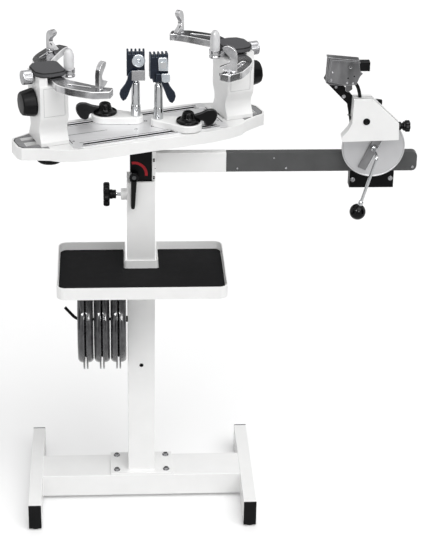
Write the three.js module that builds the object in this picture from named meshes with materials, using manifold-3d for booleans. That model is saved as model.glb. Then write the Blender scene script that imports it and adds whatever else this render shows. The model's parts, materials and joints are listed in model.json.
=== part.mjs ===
// Racket stringing machine on a floor stand: a base frame and a telescopic column carry a parts tray,
// a turntable with two towers and four shoulder arms, two string clamps, and a side bar with a tension
// head that a crank winds along the bar. Lengths are in millimetres, +Z is up, +X runs along the bar.
import * as THREE from 'three';
import { mergeVertices } from 'three/addons/utils/BufferGeometryUtils.js';
import Module from 'manifold-3d';

// Clearances and the fineness of round shapes
const overrun = 3; // how far a cutting body runs past the face it cuts
const restGap = 0.3; // gap under a piece that rests on another
const slideGap = 0.6; // gap around a piece that slides or turns in another
const weldTolerance = 0.0001;
const fineSteps = 24;
const roundSteps = 18;
const smallSteps = 10;
const cornerSteps = 4;

// The column stands off the middle of the whole outline, so the finished machine is moved by this much
const columnSetback = 190;

// Base frame: two foot tubes along Y, joined by a wide cross tube along X
const frameWidth = 596;
const footTubeWidth = 33;
const footTubeHeight = 67;
const footLength = 384;
const footUnderside = 8;
const crossDepth = 104;
const crossInset = 2.5;
const tubeWall = 3;

// Plastic caps on the four foot tube ends
const capThickness = 4;
const capSoleThickness = 3;
const capSoleLength = 40;
const glideRadius = 14;
const glideInset = 18;

// Column: square tube on a bolted plate, with a guide at the top and a boss for the height knob
const columnSide = 70;
const columnTop = 920;
const columnWall = 3;
const guideLength = 265;
const basePlateLength = 166;
const basePlateThickness = 7;
const bossRadius = 14.5;
const bossLength = 15;
const bossDrop = 46;

// Inner column with the collar and pin that carry the turntable
const innerSide = 54;
const innerRise = 95;
const innerTop = columnTop + innerRise;
const innerLength = 340;
const innerWall = 3;
const innerCapThickness = 15;
const collarRadius = 38;
const collarHeight = 11.7;
const pinRadius = 12;
const pinHeight = 18;

// Star knob that clamps the inner column
const studRadius = 4;
const studTipGap = 1;
const starNeckLength = 16;
const starNeckRadius = 11;
const starNeckGap = 12;
const starThickness = 16;
const starRadius = 30.5;
const starWaistShare = 0.76;
const starLobes = 6;

// Tray with a notch that fits round the column, its rubber mat and the bracket that carries it
const trayWidth = 422;
const trayFront = 190;
const trayRear = 75;
const trayRim = 706;
const trayHeight = 32;
const trayWall = 2.5;
const trayFloorLift = 4;
const trayFloorThickness = 5;
const trayCorner = 22;
const notchMargin = 4.5;
const notchFrontGap = 0.8;
const notchCorner = 6;
const matThickness = 3;
const matGap = 2;
const trayBracketWidth = 120;
const trayBracketReach = 95;
const trayBracketHeight = 9;

// Bent rod under the tray, and the clear string cases that hang on it
const rodRadius = 4;
const caseTrayGap = 25;
const rodLength = 132;
const rodBendReach = 30;
const rodBendRise = 36;
const caseCount = 3;
const caseFirst = 24.5;
const casePitch = 42;
const caseWidth = 40;
const caseRadius = 129;
const caseShoulderRadius = 102;
const caseRimRadius = 112;
const caseRimThickness = 4;
const caseRimGap = 4.4;
const caseWall = 1.6;
const drumRadius = 95;
const shoulderSteps = 3;

// The string wound in each case: side by side loops about the drum
const stringRadius = 1.7;
const stringSides = 6;
const windingLoops = 6;
const windingStepsPerLoop = 24;
const windingGap = 0.4;
const windingSideGap = 1.2;

// Side bar: bracket and white sleeve, then the dark bar
const barDrop = 27.5;
const barHeight = 50.5;
const barThickness = 20;
const barLength = 478;
const barCorner = 11;
const sleeveLength = 176;
const sleeveExtra = 1;
const sideBracketThickness = 9;
const sideBracketGap = 2;
const sideBracketDrop = 16;

// Brake lever on the front of the inner column
const leverHubShift = 17.5;
const leverHubDrop = 76;
const leverHubRadius = 12;
const leverHubLength = 23;
const leverBladeThickness = 9;
const leverLength = 80;
const leverLean = 3;
const leverRootWidth = 14;
const leverTipWidth = 11;

// Carriage of the tension head, wrapped round the bar
const headReach = 362;
const carriageLeftReach = 51;
const carriageLength = 111;
const carriageGap = 0.6;
const carriageTopGap = 0.4;
const carriageDepth = 31;
const carriageBackWall = 10.6;
const carriageSill = 45;
const uprightShift = 28;
const uprightWidth = 56;
const uprightFrontY = -24;
const uprightSkirt = 6;
const uprightSeatRise = 26;
const bridgeRise = 58;

// Crank wheel with its strap, the crank rod and its ball
const wheelRise = 23.5;
const wheelRadius = 78.5;
const wheelThickness = 7;
const wheelFrontY = -36;
const wheelHubRadius = 22;
const strapThickness = 5.5;
const strapLean = THREE.MathUtils.degToRad(25);
const strapWidth = 23;
const strapReach = 62;
const strapTail = 26;
const crankRadius = 4;
const crankSeatRadius = 8;
const crankSeatLength = 4.5;
const crankPlaneY = -102;
const crankLean = THREE.MathUtils.degToRad(15.6);
const crankLength = 150;
const ballRadius = 20;
const ballSeatDepth = 5;

// White cover of the tension head, an open shell behind its front face
const coverFrontY = -72;
const coverLeftReach = 88;
const coverRise = 29;
const coverWidth = 143.5;
const coverHeight = 108.5;
const coverShares = [
  [0.04, 0], [1, 0.04], [0.99, 0.4], [0.52, 1], [0.2, 1], [0.19, 0.46], [0.14, 0.3], [0.02, 0.1],
];
const coverWall = 4;
const coverSkirtDepth = 28;
const coverHeadShare = 0.5;
const coverMouthInset = 12;
const coverSlotShift = 36;
const coverSlotLength = 24;
const coverSlotDepth = 12;
const coverSlotInset = 7;

// Star knob on the right of the cover
const tensionKnobRise = 64;
const tensionKnobY = -56;
const tensionStemRadius = 7.5;
const tensionKnobGap = 15;
const tensionStemLength = 25;
const tensionKnobThickness = 13;
const tensionKnobRadius = 14.5;

// Arm plate that carries the string gripper above the cover
const armPlateThickness = 8;
const armLeftReach = 130;
const armRise = 63;
const armWidth = 145.5;
const armHeight = 132.5;
const armShares = [
  [0, 0.87], [0.05, 1], [0.2, 0.9], [0.5, 0.52], [1, 0.44], [1, 0.17], [0.56, 0.15], [0.5, 0],
  [0.47, 0], [0.45, 0.14], [0.41, 0.38], [0.04, 0.8],
];

// String gripper: slotted body and the jaw with its handle block
const gripperFrontY = -58;
const gripperDepth = 22;
const gripperWidth = 86;
const gripperHeight = 73.5;
const gripperRise = 106;
const gripperShift = 1.5;
const gripperShares = [
  [0.03, 1], [0.84, 0.88], [0.85, 0.48], [1, 0.44], [0.86, 0.03], [0.6, 0], [0.09, 0.04], [0, 0.1],
];
const jawSlotWidth = 13;
const jawSlotInset = 4;
const jawSlotDepth = 36.5;
const pivotBossRadius = 9;
const pivotBossShift = 24;
const pivotBossRise = 12;
const jawInset = 12;
const jawLength = 66.5;
const jawThickness = 7;
const jawHeight = 31;
const jawEndHeight = 22;
const jawGripLength = 26.5;

// Turntable casting, its wells and channels, and the track plate let into it
const turntableAngle = THREE.MathUtils.degToRad(20.4);
const tableHalfLength = 325;
const tableHalfWidth = 97;
const tableHalfShares = [
  [0, 1], [0.48, 1], [0.62, 0.93], [0.73, 0.82], [0.79, 0.64], [0.9, 0.47], [0.98, 0.37], [1, 0.21],
];
const tableThickness = 30;
const trackProud = 2;
const trackThickness = 7;
const trackWellGap = 7;
const trackWidth = 164;
const trackCorner = 6;
const slotOffset = 65;
const slotWidth = 10;
const slotEndMargin = 25;
const slotFlat = 0.3;
const channelDepth = 11;
const channelWidth = 23;
const wellLength = 94;
const wellEndMargin = 23;
const wellWidth = 54;
const wellDepth = 6;
const wellSlotWidth = 20;
const wellSlotLength = 82;
const wellSlotInset = 6;

// Towers: outline in Y and Z, one half drawn and mirrored
const towerEndMargins = { left: 88, right: 78 };
const towerWidth = 70;
const towerHalfDepth = 46;
const towerHeight = 151.4;
const towerHalfShares = [
  [1, 0], [1, 0.06], [0.86, 0.13], [0.72, 0.22], [0.76, 0.32], [0.95, 0.42], [1, 0.46], [1, 1],
];
const towerTongueStart = -12;
const towerTongueLength = 42;
const towerTongueDepth = 12;
const towerHeadWidth = 20;
const towerHeadHalfDepth = 44;
const armGap = 0.5;
const shoulderThickness = 18;
const pivotPinRadius = 6;
const pivotPinShift = -8;
const pivotPinOffset = 30;
const grubHoleDrop = 48;
const grubHoleRadius = 4;
const grubHoleDepth = 6;

// Racket pads on the towers: half outline from the inner edge out
const padThickness = 12;
const padLength = 74.5;
const padOverhang = 4;
const padHalfWidth = 45;
const padHalfShares = [[0, 0], [0, 0.67], [0.11, 0.91], [0.55, 1], [0.82, 0.89], [0.99, 0.49], [1, 0]];

// Shoulder arms: outline measured from the tower middle outwards and along the front
const shoulderInner = -108;
const shoulderWidth = 118;
const shoulderStart = 20;
const shoulderReach = 158;
const shoulderShares = [
  [0.93, 0], [0.98, 0.13], [1, 0.41], [0.92, 0.56], [0.8, 0.69], [0.58, 0.85], [0.46, 0.93], [0.14, 1],
  [0, 0.86], [0.13, 0.8], [0.3, 0.66], [0.5, 0.46], [0.68, 0.28], [0.72, 0.15], [0.72, 0],
];
const shoulderSlotShares = [[0.77, 0.5], [0.43, 0.74]];
const shoulderSlotWidth = 10;
const hookPlaceShares = {
  left_front: [0.3, 0.86], left_rear: [0.42, 0.83], right_front: [0.3, 0.88], right_rear: [0.25, 0.84],
};

// Claw hooks that stand on the shoulder arms: outline as reach towards the racket and height
const hookStemRadius = 4.2;
const hookStemLift = 3;
const hookFootRadius = 9.5;
const hookFootHeight = 4;
const hookThickness = 11;
const hookBack = 9;
const hookWidth = 42;
const hookHeights = { left_front: 64, left_rear: 54, right_front: 66, right_rear: 64 };
const hookShares = [
  [0, 0], [0.43, 0], [0.86, 0.1], [1, 0.17], [0.79, 0.24], [0.43, 0.33], [0.33, 0.44], [0.36, 0.54],
  [0.79, 0.81], [0.86, 0.92], [0.69, 1], [0.4, 0.98], [0.12, 0.84], [0, 0.62],
];
const hookTurns = {
  left_front: THREE.MathUtils.degToRad(42),
  left_rear: THREE.MathUtils.degToRad(-78),
  right_front: THREE.MathUtils.degToRad(150),
  right_rear: THREE.MathUtils.degToRad(-135),
};

// Hold-down noses, which slide in the gap between the shoulder arms
const noseInsets = { left: 54, right: 51 };
const noseBaseRadius = 14.5;
const noseBaseRise = 2;
const noseRadius = 12.5;
const noseHeight = 50;
const noseProfileShares = [[1, 0], [1, 0.48], [0.88, 0.74], [0.56, 0.93], [0, 1]];
const noseBarWidth = 15;
const noseBarReach = -2;
const noseBoreDepth = 34;

// Silver knobs that move the hold-downs
const holdScrewRise = 12;
const silverRadius = 17;
const silverLength = 24;
const silverOutset = 4.6;
const silverCollarRadius = 6.5;
const silverStemRadius = 4.4;
const silverStemLength = 60;

// Big side knobs that close the shoulder arms
const bigKnobDrop = 52;
const bigKnobOutsets = { left: 1, right: 2 };
const bigKnobLength = 33;
const bigKnobEdge = 3;
const bigKnobBackRadius = 34.5;
const bigKnobFrontRadius = 28;
const bigKnobStemRadius = 6;
const bigKnobStemLength = 24;
const bigKnobCollarRadius = 12;

// Round lock knob under the left tower
const lockKnobRadius = 27;
const lockKnobThickness = 12;
const lockKnobDrop = 8;
const lockNeckRadius = 12;
const lockStemRadius = 4;
const lockStemLength = 34;

// Clamp bases, which swing about their slot nuts and carry the posts
const slotNutPlaces = { left: -69, right: 99 };
const clampTurns = { left: THREE.MathUtils.degToRad(-32), right: THREE.MathUtils.degToRad(139) };
const nutSize = 18;
const nutThickness = 6;
const nutDrop = 4;
const nutStemRadius = 3.9;
const nutStemRise = 10;
const clampBaseThickness = 17.7;
const clampBaseRadius = 34;
const clampPostEndRadius = 18.5;
const clampArmLength = 77;
const postRadius = 12;
const postHeight = 97;
const postShares = [[0, 0], [1, 0], [1, 0.28], [0.87, 0.32], [0.87, 0.89], [0.58, 0.95], [0.58, 1], [0, 1]];

// Cam levers that lock the bases: a dished disc with a dome, and an upright fin for the thumb
const camTurns = { left: THREE.MathUtils.degToRad(166), right: THREE.MathUtils.degToRad(-11) };
const camRadius = 30;
const camHeight = 28;
const camShares = [[0.3, 1], [0.46, 0.86], [0.57, 0.43], [0.7, 0.3], [0.95, 0.24], [1, 0.14], [1, 0]];
const finLength = 73;
const finHeight = 46;
const finDrop = 16;
const finThickness = 9;
const finShares = [
  [0.14, 0.72], [0.14, 0.42], [0.42, 0.4], [0.53, 0.34], [0.57, 0.08], [0.68, 0], [0.84, 0.12], [0.96, 0.4], [1, 0.64],
  [0.97, 0.88], [0.84, 1], [0.64, 0.98], [0.45, 0.84],
];

// Clamp heads with their toothed jaws, and the levers that close them
const headTurns = { left: THREE.MathUtils.degToRad(-20), right: THREE.MathUtils.degToRad(-14) };
const headWidth = 44;
const headDepth = 24;
const headNeckWidth = 30;
const headNeckHeight = 9;
const headHeight = 64;
const toothCount = 5;
const toothWidth = 5;
const toothHeight = 7;
const jawSplit = 1.8;
const jawSplitDepth = 44;
const jawPivotRise = 14;
const jawPivotRadius = 5;
const jawLeverThickness = 6;
const jawLeverGap = 2.5;
const jawLeverReach = 40;
const jawLeverLength = 77;
const jawLeverRise = 10;
const jawPivotShift = 13;
const jawLeverShares = [
  [0.1, 0.98], [0.3, 1], [0.47, 0.9], [0.52, 0.72], [0.66, 0.56], [0.94, 0.36], [1, 0.24], [0.93, 0.1], [0.78, 0],
  [0.6, 0.06], [0.46, 0.2], [0.34, 0.38], [0.2, 0.56], [0.06, 0.76], [0.02, 0.9],
];

// Places that follow from the sizes above
const columnHalf = columnSide / 2;
const innerHalf = innerSide / 2;
const footHalfLength = footLength / 2;
const footTop = footUnderside + footTubeHeight;
const footOuterX = frameWidth / 2;
const footInnerX = footOuterX - footTubeWidth;
const crossTop = footTop - crossInset;
const crossUnderside = footUnderside + crossInset;
const basePlateTop = crossTop + basePlateThickness;
const bossHeight = columnTop - bossDrop;
const bossEndX = -columnHalf - bossLength;
const trayUnderside = trayRim - trayHeight;
const trayFloorUnderside = trayUnderside + trayFloorLift;
const rodHeight = trayUnderside - caseRadius - caseTrayGap;
const trayFloorTop = trayFloorUnderside + trayFloorThickness;
const barTop = innerTop - barDrop;
const barUnderside = barTop - barHeight;
const barHalf = barThickness / 2;
const sleeveStartX = innerHalf + sideBracketThickness;
const sleeveEndX = sleeveStartX + sleeveLength;
const barEndX = sleeveEndX + barLength;
const wheelX = sleeveEndX + headReach;
const wheelHeight = barTop + wheelRise;
const wheelBackY = wheelFrontY + wheelThickness;
const coverLeft = wheelX - coverLeftReach;
const coverUnderside = wheelHeight + coverRise;
const armPlateFrontY = uprightFrontY - armPlateThickness;
const armLeft = wheelX - armLeftReach;
const armUnderside = wheelHeight + armRise;
const gripperLeft = armLeft + gripperShift;
const gripperUnderside = armUnderside + gripperRise;
const gripperTop = gripperUnderside + gripperHeight;
const gripperBackY = gripperFrontY + gripperDepth;
const gripperPivotX = gripperLeft + pivotBossShift;
const gripperPivotHeight = gripperUnderside + pivotBossRise;
const tableUnderside = innerTop + collarHeight + restGap;
const tableRim = tableUnderside + tableThickness;
const trackTop = tableRim + trackProud;
const wellOuter = tableHalfLength - wellEndMargin;
const wellInner = wellOuter - wellLength;
const wellSlotInner = wellInner + wellSlotInset;
const trackHalfLength = wellInner - trackWellGap;
const slotHalfLength = trackHalfLength - slotEndMargin;

const towerHalf = towerWidth / 2;
const towerFoot = tableRim + slideGap;
const towerTop = towerFoot + towerHeight;
const shoulderUnderside = towerTop + armGap;
const shoulderTop = shoulderUnderside + shoulderThickness;
const padUnderside = shoulderTop + armGap;
const towerHeadTop = padUnderside - restGap;
const holdScrewHeight = towerTop + holdScrewRise;
const bigKnobHeight = towerTop - bigKnobDrop;
const nutTop = trackTop - trackThickness - nutDrop;
const nutUnderside = nutTop - nutThickness;
const clampBaseUnderside = trackTop + restGap;
const clampBaseTop = clampBaseUnderside + clampBaseThickness;
const headUnderside = clampBaseTop + postHeight + restGap;
const jawPivotHeight = headUnderside + jawPivotRise;

// Finishes, each as colour, roughness and metalness
const finishes = {
  whitePaint: [0xf1f1ee, 0.42, 0],
  blackPaint: [0x0c0c0d, 0.45, 0],
  blackPlastic: [0x111112, 0.42, 0],
  glossBlack: [0x070708, 0.12, 0],
  greyBar: [0x4b4c4e, 0.45, 0.3],
  rubber: [0x141515, 0.85, 0],
  padRubber: [0x3b3c3e, 0.75, 0],
  brushed: [0xb9babc, 0.35, 1],
  castMetal: [0xc9cacc, 0.3, 1],
  chrome: [0xd9dadc, 0.12, 1],
  string: [0x55575a, 0.4, 0.4],
  clearPlastic: [0xd8dadd, 0.1, 0],
  wheelGrey: [0xb5b5b7, 0.45, 0.6],
  gripperGrey: [0x7b7c7f, 0.45, 0.7],
  navy: [0x1c2530, 0.35, 0.2],
};

const wasm = await Module();
wasm.setup();

const machine = new THREE.Group();
machine.name = 'racket_stringing_machine';

// A group at a place in its parent, turned about the vertical
function groupAt(parent, x, y, turn) {
  const group = new THREE.Group();
  group.position.set(x, y, 0);
  group.rotation.z = turn;
  parent.add(group);
  return group;
}

const turned = groupAt(machine, 0, 0, turntableAngle);

// A closed solid for joining and cutting, made from a drawn geometry
function toSolid(geometry) {
  const bare = geometry.clone();
  bare.deleteAttribute('normal');
  bare.deleteAttribute('uv');
  const welded = mergeVertices(bare, weldTolerance);
  return new wasm.Manifold(new wasm.Mesh({
    numProp: 3,
    vertProperties: Float32Array.from(welded.attributes.position.array),
    triVerts: Uint32Array.from(welded.index.array),
  }));
}

function toGeometry(solid) {
  const mesh = solid.getMesh();
  const geometry = new THREE.BufferGeometry();
  geometry.setAttribute('position', new THREE.BufferAttribute(Float32Array.from(mesh.vertProperties), 3));
  geometry.setIndex(new THREE.BufferAttribute(Uint32Array.from(mesh.triVerts), 1));
  const flat = geometry.toNonIndexed();
  flat.computeVertexNormals();
  return flat;
}

function joined(...solids) {
  return solids.reduce((sum, solid) => sum.add(solid));
}

function cutBy(solid, ...tools) {
  return tools.reduce((rest, tool) => rest.subtract(tool), solid);
}

function place(name, solid, finish, group = machine) {
  const [color, roughness, metalness] = finishes[finish];
  const material = new THREE.MeshStandardMaterial({ color, roughness, metalness });
  material.name = finish;
  const mesh = new THREE.Mesh(toGeometry(solid), material);
  mesh.name = name;
  group.add(mesh);
  return mesh;
}

// A box between two limits on each axis
function block(x, y, z) {
  const geometry = new THREE.BoxGeometry(Math.abs(x[1] - x[0]), Math.abs(y[1] - y[0]), Math.abs(z[1] - z[0]));
  geometry.translate((x[0] + x[1]) / 2, (y[0] + y[1]) / 2, (z[0] + z[1]) / 2);
  return toSolid(geometry);
}

// A round bar or cone between two points
function bar(from, to, radius, steps = roundSteps, endRadius = radius) {
  const start = new THREE.Vector3(...from);
  const end = new THREE.Vector3(...to);
  const along = end.clone().sub(start);
  const geometry = new THREE.CylinderGeometry(endRadius, radius, along.length(), steps);
  geometry.applyQuaternion(new THREE.Quaternion().setFromUnitVectors(new THREE.Vector3(0, 1, 0), along.normalize()));
  const middle = start.add(end).multiplyScalar(1 / 2);
  geometry.translate(middle.x, middle.y, middle.z);
  return toSolid(geometry);
}

function upright(x, y, low, high, radius, steps = roundSteps) {
  return bar([x, y, low], [x, y, high], radius, steps);
}

function ball(centre, radius, steps) {
  const geometry = new THREE.SphereGeometry(radius, steps, steps / 2);
  geometry.rotateX(Math.PI / 2);
  geometry.translate(...centre);
  return toSolid(geometry);
}

function outline(points) {
  return new THREE.Shape(points.map(([x, y]) => new THREE.Vector2(x, y)));
}

// Points given as shares of a width and a height, measured from a corner
function fromShares(shares, corner, width, height) {
  return shares.map(([across, up]) => [corner[0] + across * width, corner[1] + up * height]);
}

// A rectangle with round corners, given by its limits
function roundedOutline(x, y, radius) {
  const [x0, x1] = x;
  const [y0, y1] = y;
  const shape = new THREE.Shape();
  shape.absarc(x1 - radius, y0 + radius, radius, -Math.PI / 2, 0);
  shape.absarc(x1 - radius, y1 - radius, radius, 0, Math.PI / 2);
  shape.absarc(x0 + radius, y1 - radius, radius, Math.PI / 2, Math.PI);
  shape.absarc(x0 + radius, y0 + radius, radius, Math.PI, Math.PI * 3 / 2);
  return shape;
}

function extruded(shape, depth) {
  return new THREE.ExtrudeGeometry(shape, { depth, bevelEnabled: false, curveSegments: cornerSteps });
}

// A plate from an outline in X and Y, between two heights
function plate(shape, low, high) {
  const geometry = extruded(shape, high - low);
  geometry.translate(0, 0, low);
  return toSolid(geometry);
}

// A plate from an outline in X and Z, between two places along Y
function frontPlate(shape, frontY, backY) {
  const geometry = extruded(shape, backY - frontY);
  geometry.rotateX(Math.PI / 2);
  geometry.translate(0, backY, 0);
  return toSolid(geometry);
}

// A plate from an outline in Y and Z, between two places along X, about a given line
function sidePlate(shape, startX, endX, y = 0, height = 0) {
  const geometry = extruded(shape, endX - startX);
  geometry.rotateX(Math.PI / 2);
  geometry.rotateZ(Math.PI / 2);
  geometry.translate(startX, y, height);
  return toSolid(geometry);
}

// A turned piece about the vertical axis, from radius and height pairs listed anticlockwise
function turnedGeometry(profile, steps) {
  const geometry = new THREE.LatheGeometry(profile.map(([radius, height]) => new THREE.Vector2(radius, height)), steps);
  geometry.rotateX(Math.PI / 2);
  return geometry;
}

// A star knob outline with smooth lobes, about the origin
function starOutline(radius) {
  const steps = starLobes * cornerSteps;
  const points = [];
  for (let step = 0; step < steps; step += 1) {
    const angle = (step / steps) * Math.PI * 2;
    const lobe = (1 + Math.cos(angle * starLobes)) / 2;
    const reach = radius * (starWaistShare + (1 - starWaistShare) * lobe);
    points.push([reach * Math.cos(angle), reach * Math.sin(angle)]);
  }
  return outline(points);
}

// Stand
function buildBaseFrame() {
  const sides = [-1, 1];
  const feet = sides.map((side) => block(
    [side * footInnerX, side * footOuterX], [-footHalfLength, footHalfLength], [footUnderside, footTop],
  ));
  const footBores = sides.map((side) => block(
    [side * (footInnerX + tubeWall), side * (footOuterX - tubeWall)],
    [-footHalfLength - overrun, footHalfLength + overrun],
    [footUnderside + tubeWall, footTop - tubeWall],
  ));
  const crossHalf = crossDepth / 2;
  const crossEnd = footInnerX + tubeWall / 2;
  const cross = block([-crossEnd, crossEnd], [-crossHalf, crossHalf], [crossUnderside, crossTop]);
  const boreEnd = footInnerX + tubeWall + overrun;
  const crossBore = block(
    [-boreEnd, boreEnd], [tubeWall - crossHalf, crossHalf - tubeWall], [crossUnderside + tubeWall, crossTop - tubeWall],
  );
  place('base_frame', cutBy(joined(...feet, cross), ...footBores, crossBore), 'whitePaint');
}

function buildFootCap(name, side, end) {
  const x = [side * footInnerX, side * footOuterX];
  const tubeEnd = end * footHalfLength;
  const capEnd = tubeEnd + end * capThickness;
  const soleUnderside = footUnderside - capSoleThickness;
  const face = block(x, [tubeEnd, capEnd], [soleUnderside, footTop]);
  const sole = block(x, [capEnd - end * capSoleLength, capEnd], [soleUnderside, footUnderside]);
  const glideX = side * (footInnerX + footOuterX) / 2;
  const glide = upright(glideX, capEnd - end * glideInset, 0, soleUnderside + capSoleThickness / 2, glideRadius);
  place(name, joined(face, sole, glide), 'blackPlastic');
}

function buildColumn() {
  const crossHalf = crossDepth / 2;
  const plateHalf = basePlateLength / 2;
  const guideHalf = innerHalf + slideGap;
  const guideUnderside = columnTop - guideLength;
  const wide = columnHalf - columnWall;
  const bracketHalf = trayBracketWidth / 2;
  const tube = block([-columnHalf, columnHalf], [-columnHalf, columnHalf], [crossTop, columnTop]);
  const foot = block([-plateHalf, plateHalf], [-crossHalf, crossHalf], [crossTop, basePlateTop]);
  const bracketLow = trayUnderside - trayBracketHeight;
  const bracketFrontY = -columnHalf - trayBracketReach;
  const bracketPadY = -columnHalf - notchFrontGap - trayWall - restGap * 2;
  const bracketX = [-bracketHalf, bracketHalf];
  const bracket = block(bracketX, [bracketFrontY, -wide], [bracketLow, trayUnderside - restGap]);
  const bracketPad = block(bracketX, [bracketFrontY, bracketPadY], [bracketLow, trayFloorUnderside - restGap]);
  const boss = bar([-wide, 0, bossHeight], [bossEndX, 0, bossHeight], bossRadius);
  const lowBore = block([-wide, wide], [-wide, wide], [basePlateTop, guideUnderside]);
  const guideBore = block([-guideHalf, guideHalf], [-guideHalf, guideHalf], [guideUnderside - overrun, columnTop + overrun]);
  const studBore = bar([0, 0, bossHeight], [bossEndX - overrun, 0, bossHeight], studRadius + slideGap);
  place('column', cutBy(joined(tube, foot, bracket, bracketPad, boss), lowBore, guideBore, studBore), 'whitePaint');
}

function buildHeightKnob() {
  const tipX = -innerHalf - studTipGap;
  const neckX = bossEndX - starNeckGap;
  const starBackX = neckX - starNeckLength;
  const stud = bar([tipX, 0, bossHeight], [starBackX - overrun, 0, bossHeight], studRadius, smallSteps);
  const neck = bar([neckX, 0, bossHeight], [starBackX - overrun, 0, bossHeight], starNeckRadius, smallSteps);
  const star = sidePlate(starOutline(starRadius), starBackX - starThickness, starBackX, 0, bossHeight);
  place('height_knob', joined(stud, neck, star), 'blackPlastic');
}

function buildInnerColumn() {
  const low = innerTop - innerLength;
  const inside = innerHalf - innerWall;
  const tube = block([-innerHalf, innerHalf], [-innerHalf, innerHalf], [low, innerTop]);
  const bore = block([-inside, inside], [-inside, inside], [low - overrun, innerTop - innerCapThickness]);
  const collar = upright(0, 0, innerTop - overrun, innerTop + collarHeight, collarRadius, fineSteps);
  const pin = upright(0, 0, innerTop, innerTop + collarHeight + pinHeight, pinRadius);
  place('inner_column', cutBy(joined(tube, collar, pin), bore), 'blackPaint');
}

// The tray outline: a rounded rectangle with a notch for the column, open at the rear
function trayOutline(inset) {
  const corner = trayCorner - inset;
  const x = trayWidth / 2 - inset;
  const front = -trayFront + inset;
  const rear = trayRear - inset;
  const notchX = columnHalf + notchMargin + inset;
  const notchY = -columnHalf - notchFrontGap - inset;
  const shape = new THREE.Shape();
  shape.absarc(x - corner, front + corner, corner, -Math.PI / 2, 0);
  shape.absarc(x - corner, rear - corner, corner, 0, Math.PI / 2);
  shape.lineTo(notchX, rear);
  shape.absarc(notchX - notchCorner, notchY + notchCorner, notchCorner, 0, -Math.PI / 2, true);
  shape.absarc(-notchX + notchCorner, notchY + notchCorner, notchCorner, -Math.PI / 2, -Math.PI, true);
  shape.lineTo(-notchX, rear);
  shape.absarc(-x + corner, rear - corner, corner, Math.PI / 2, Math.PI);
  shape.absarc(-x + corner, front + corner, corner, Math.PI, Math.PI * 3 / 2);
  return shape;
}

function buildTray() {
  const shell = plate(trayOutline(0), trayUnderside, trayRim);
  const inside = plate(trayOutline(trayWall), trayFloorTop, trayRim + overrun);
  const below = plate(trayOutline(trayWall), trayUnderside - overrun, trayFloorUnderside);
  place('tray', cutBy(shell, inside, below), 'whitePaint');
  place('tray_mat', plate(trayOutline(trayWall + matGap), trayFloorTop, trayFloorTop + matThickness), 'rubber');
}

// Rod and string cases
function buildCaseRod() {
  const bend = [-columnHalf - rodLength, 0, rodHeight];
  const tip = [bend[0] - rodBendReach, 0, rodHeight + rodBendRise];
  const straight = bar([-columnHalf, 0, rodHeight], bend, rodRadius, smallSteps);
  place('case_rod', joined(straight, ball(bend, rodRadius, smallSteps), bar(bend, tip, rodRadius, smallSteps)), 'blackPaint');
}

// Half of a case section in radius and distance from its middle: side wall, curved shoulder and rim
function caseHalfProfile() {
  const half = caseWidth / 2;
  const rimInner = caseRimGap / 2;
  const rimOuter = rimInner + caseRimThickness;
  const outside = [[rodRadius + slideGap, half], [caseShoulderRadius, half]];
  for (let step = 1; step <= shoulderSteps; step += 1) {
    const angle = (step / shoulderSteps) * Math.PI / 2;
    outside.push([
      caseShoulderRadius + (caseRimRadius - caseShoulderRadius) * Math.sin(angle),
      rimOuter + (half - rimOuter) * Math.cos(angle),
    ]);
  }
  const inside = [
    [caseRadius, rimOuter], [caseRadius, rimInner], [caseRimRadius - caseWall, rimInner],
    [caseShoulderRadius, half - caseWall * 2], [drumRadius, half - caseWall],
  ];
  return [...outside, ...inside];
}

function buildCase(name, x) {
  const half = caseHalfProfile();
  const mirrored = half.map(([radius, height]) => [radius, -height]).reverse();
  const profile = [...half, ...mirrored, half[0]].reverse();
  const geometry = turnedGeometry(profile, fineSteps);
  geometry.rotateY(Math.PI / 2);
  geometry.translate(x, 0, rodHeight);
  place(name, toSolid(geometry), 'clearPlastic');
}

// Centre line of the wound string: loops about the X axis that step sideways, with straight ends
function windingPoints(x) {
  const reach = (drumRadius + windingGap + stringRadius) / Math.cos(Math.PI / windingStepsPerLoop);
  const travel = caseWidth - (caseWall + windingSideGap + stringRadius) * 2;
  const steps = windingLoops * windingStepsPerLoop;
  const points = [];
  for (let step = 0; step <= steps; step += 1) {
    const angle = (step / windingStepsPerLoop) * Math.PI * 2;
    points.push({
      place: [x + (step / steps - 1 / 2) * travel, reach * Math.sin(angle), rodHeight + reach * Math.cos(angle)],
      out: [0, Math.sin(angle), Math.cos(angle)],
    });
  }
  const straight = stringRadius * 2;
  const first = points[0];
  const last = points[steps];
  const ends = [[first, -straight], [last, straight]].map(([point, run]) => ({
    place: [point.place[0], point.place[1] + run * point.out[2], point.place[2] - run * point.out[1]],
    out: point.out,
  }));
  return [ends[0], ...points, ends[1]];
}

// A tube of flat sides through the points of a centre line, closed at both ends
function windingTube(points) {
  const corners = [];
  const faces = [];
  points.forEach(({ place: [x, y, z], out }) => {
    for (let side = 0; side < stringSides; side += 1) {
      const angle = (side / stringSides) * Math.PI * 2;
      const across = Math.sin(angle) * stringRadius;
      const outward = Math.cos(angle) * stringRadius;
      corners.push(x + across, y + out[1] * outward, z + out[2] * outward);
    }
  });
  const corner = (ring, side) => ring * stringSides + (side % stringSides);
  for (let ring = 0; ring < points.length - 1; ring += 1) {
    for (let side = 0; side < stringSides; side += 1) {
      const a = corner(ring, side);
      const b = corner(ring, side + 1);
      const c = corner(ring + 1, side + 1);
      const d = corner(ring + 1, side);
      faces.push(a, b, c, a, c, d);
    }
  }
  for (let side = 1; side < stringSides - 1; side += 1) {
    faces.push(corner(0, 0), corner(0, side + 1), corner(0, side));
    const end = points.length - 1;
    faces.push(corner(end, 0), corner(end, side), corner(end, side + 1));
  }
  const geometry = new THREE.BufferGeometry();
  geometry.setAttribute('position', new THREE.Float32BufferAttribute(corners, 3));
  geometry.setIndex(faces);
  return geometry;
}

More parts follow.
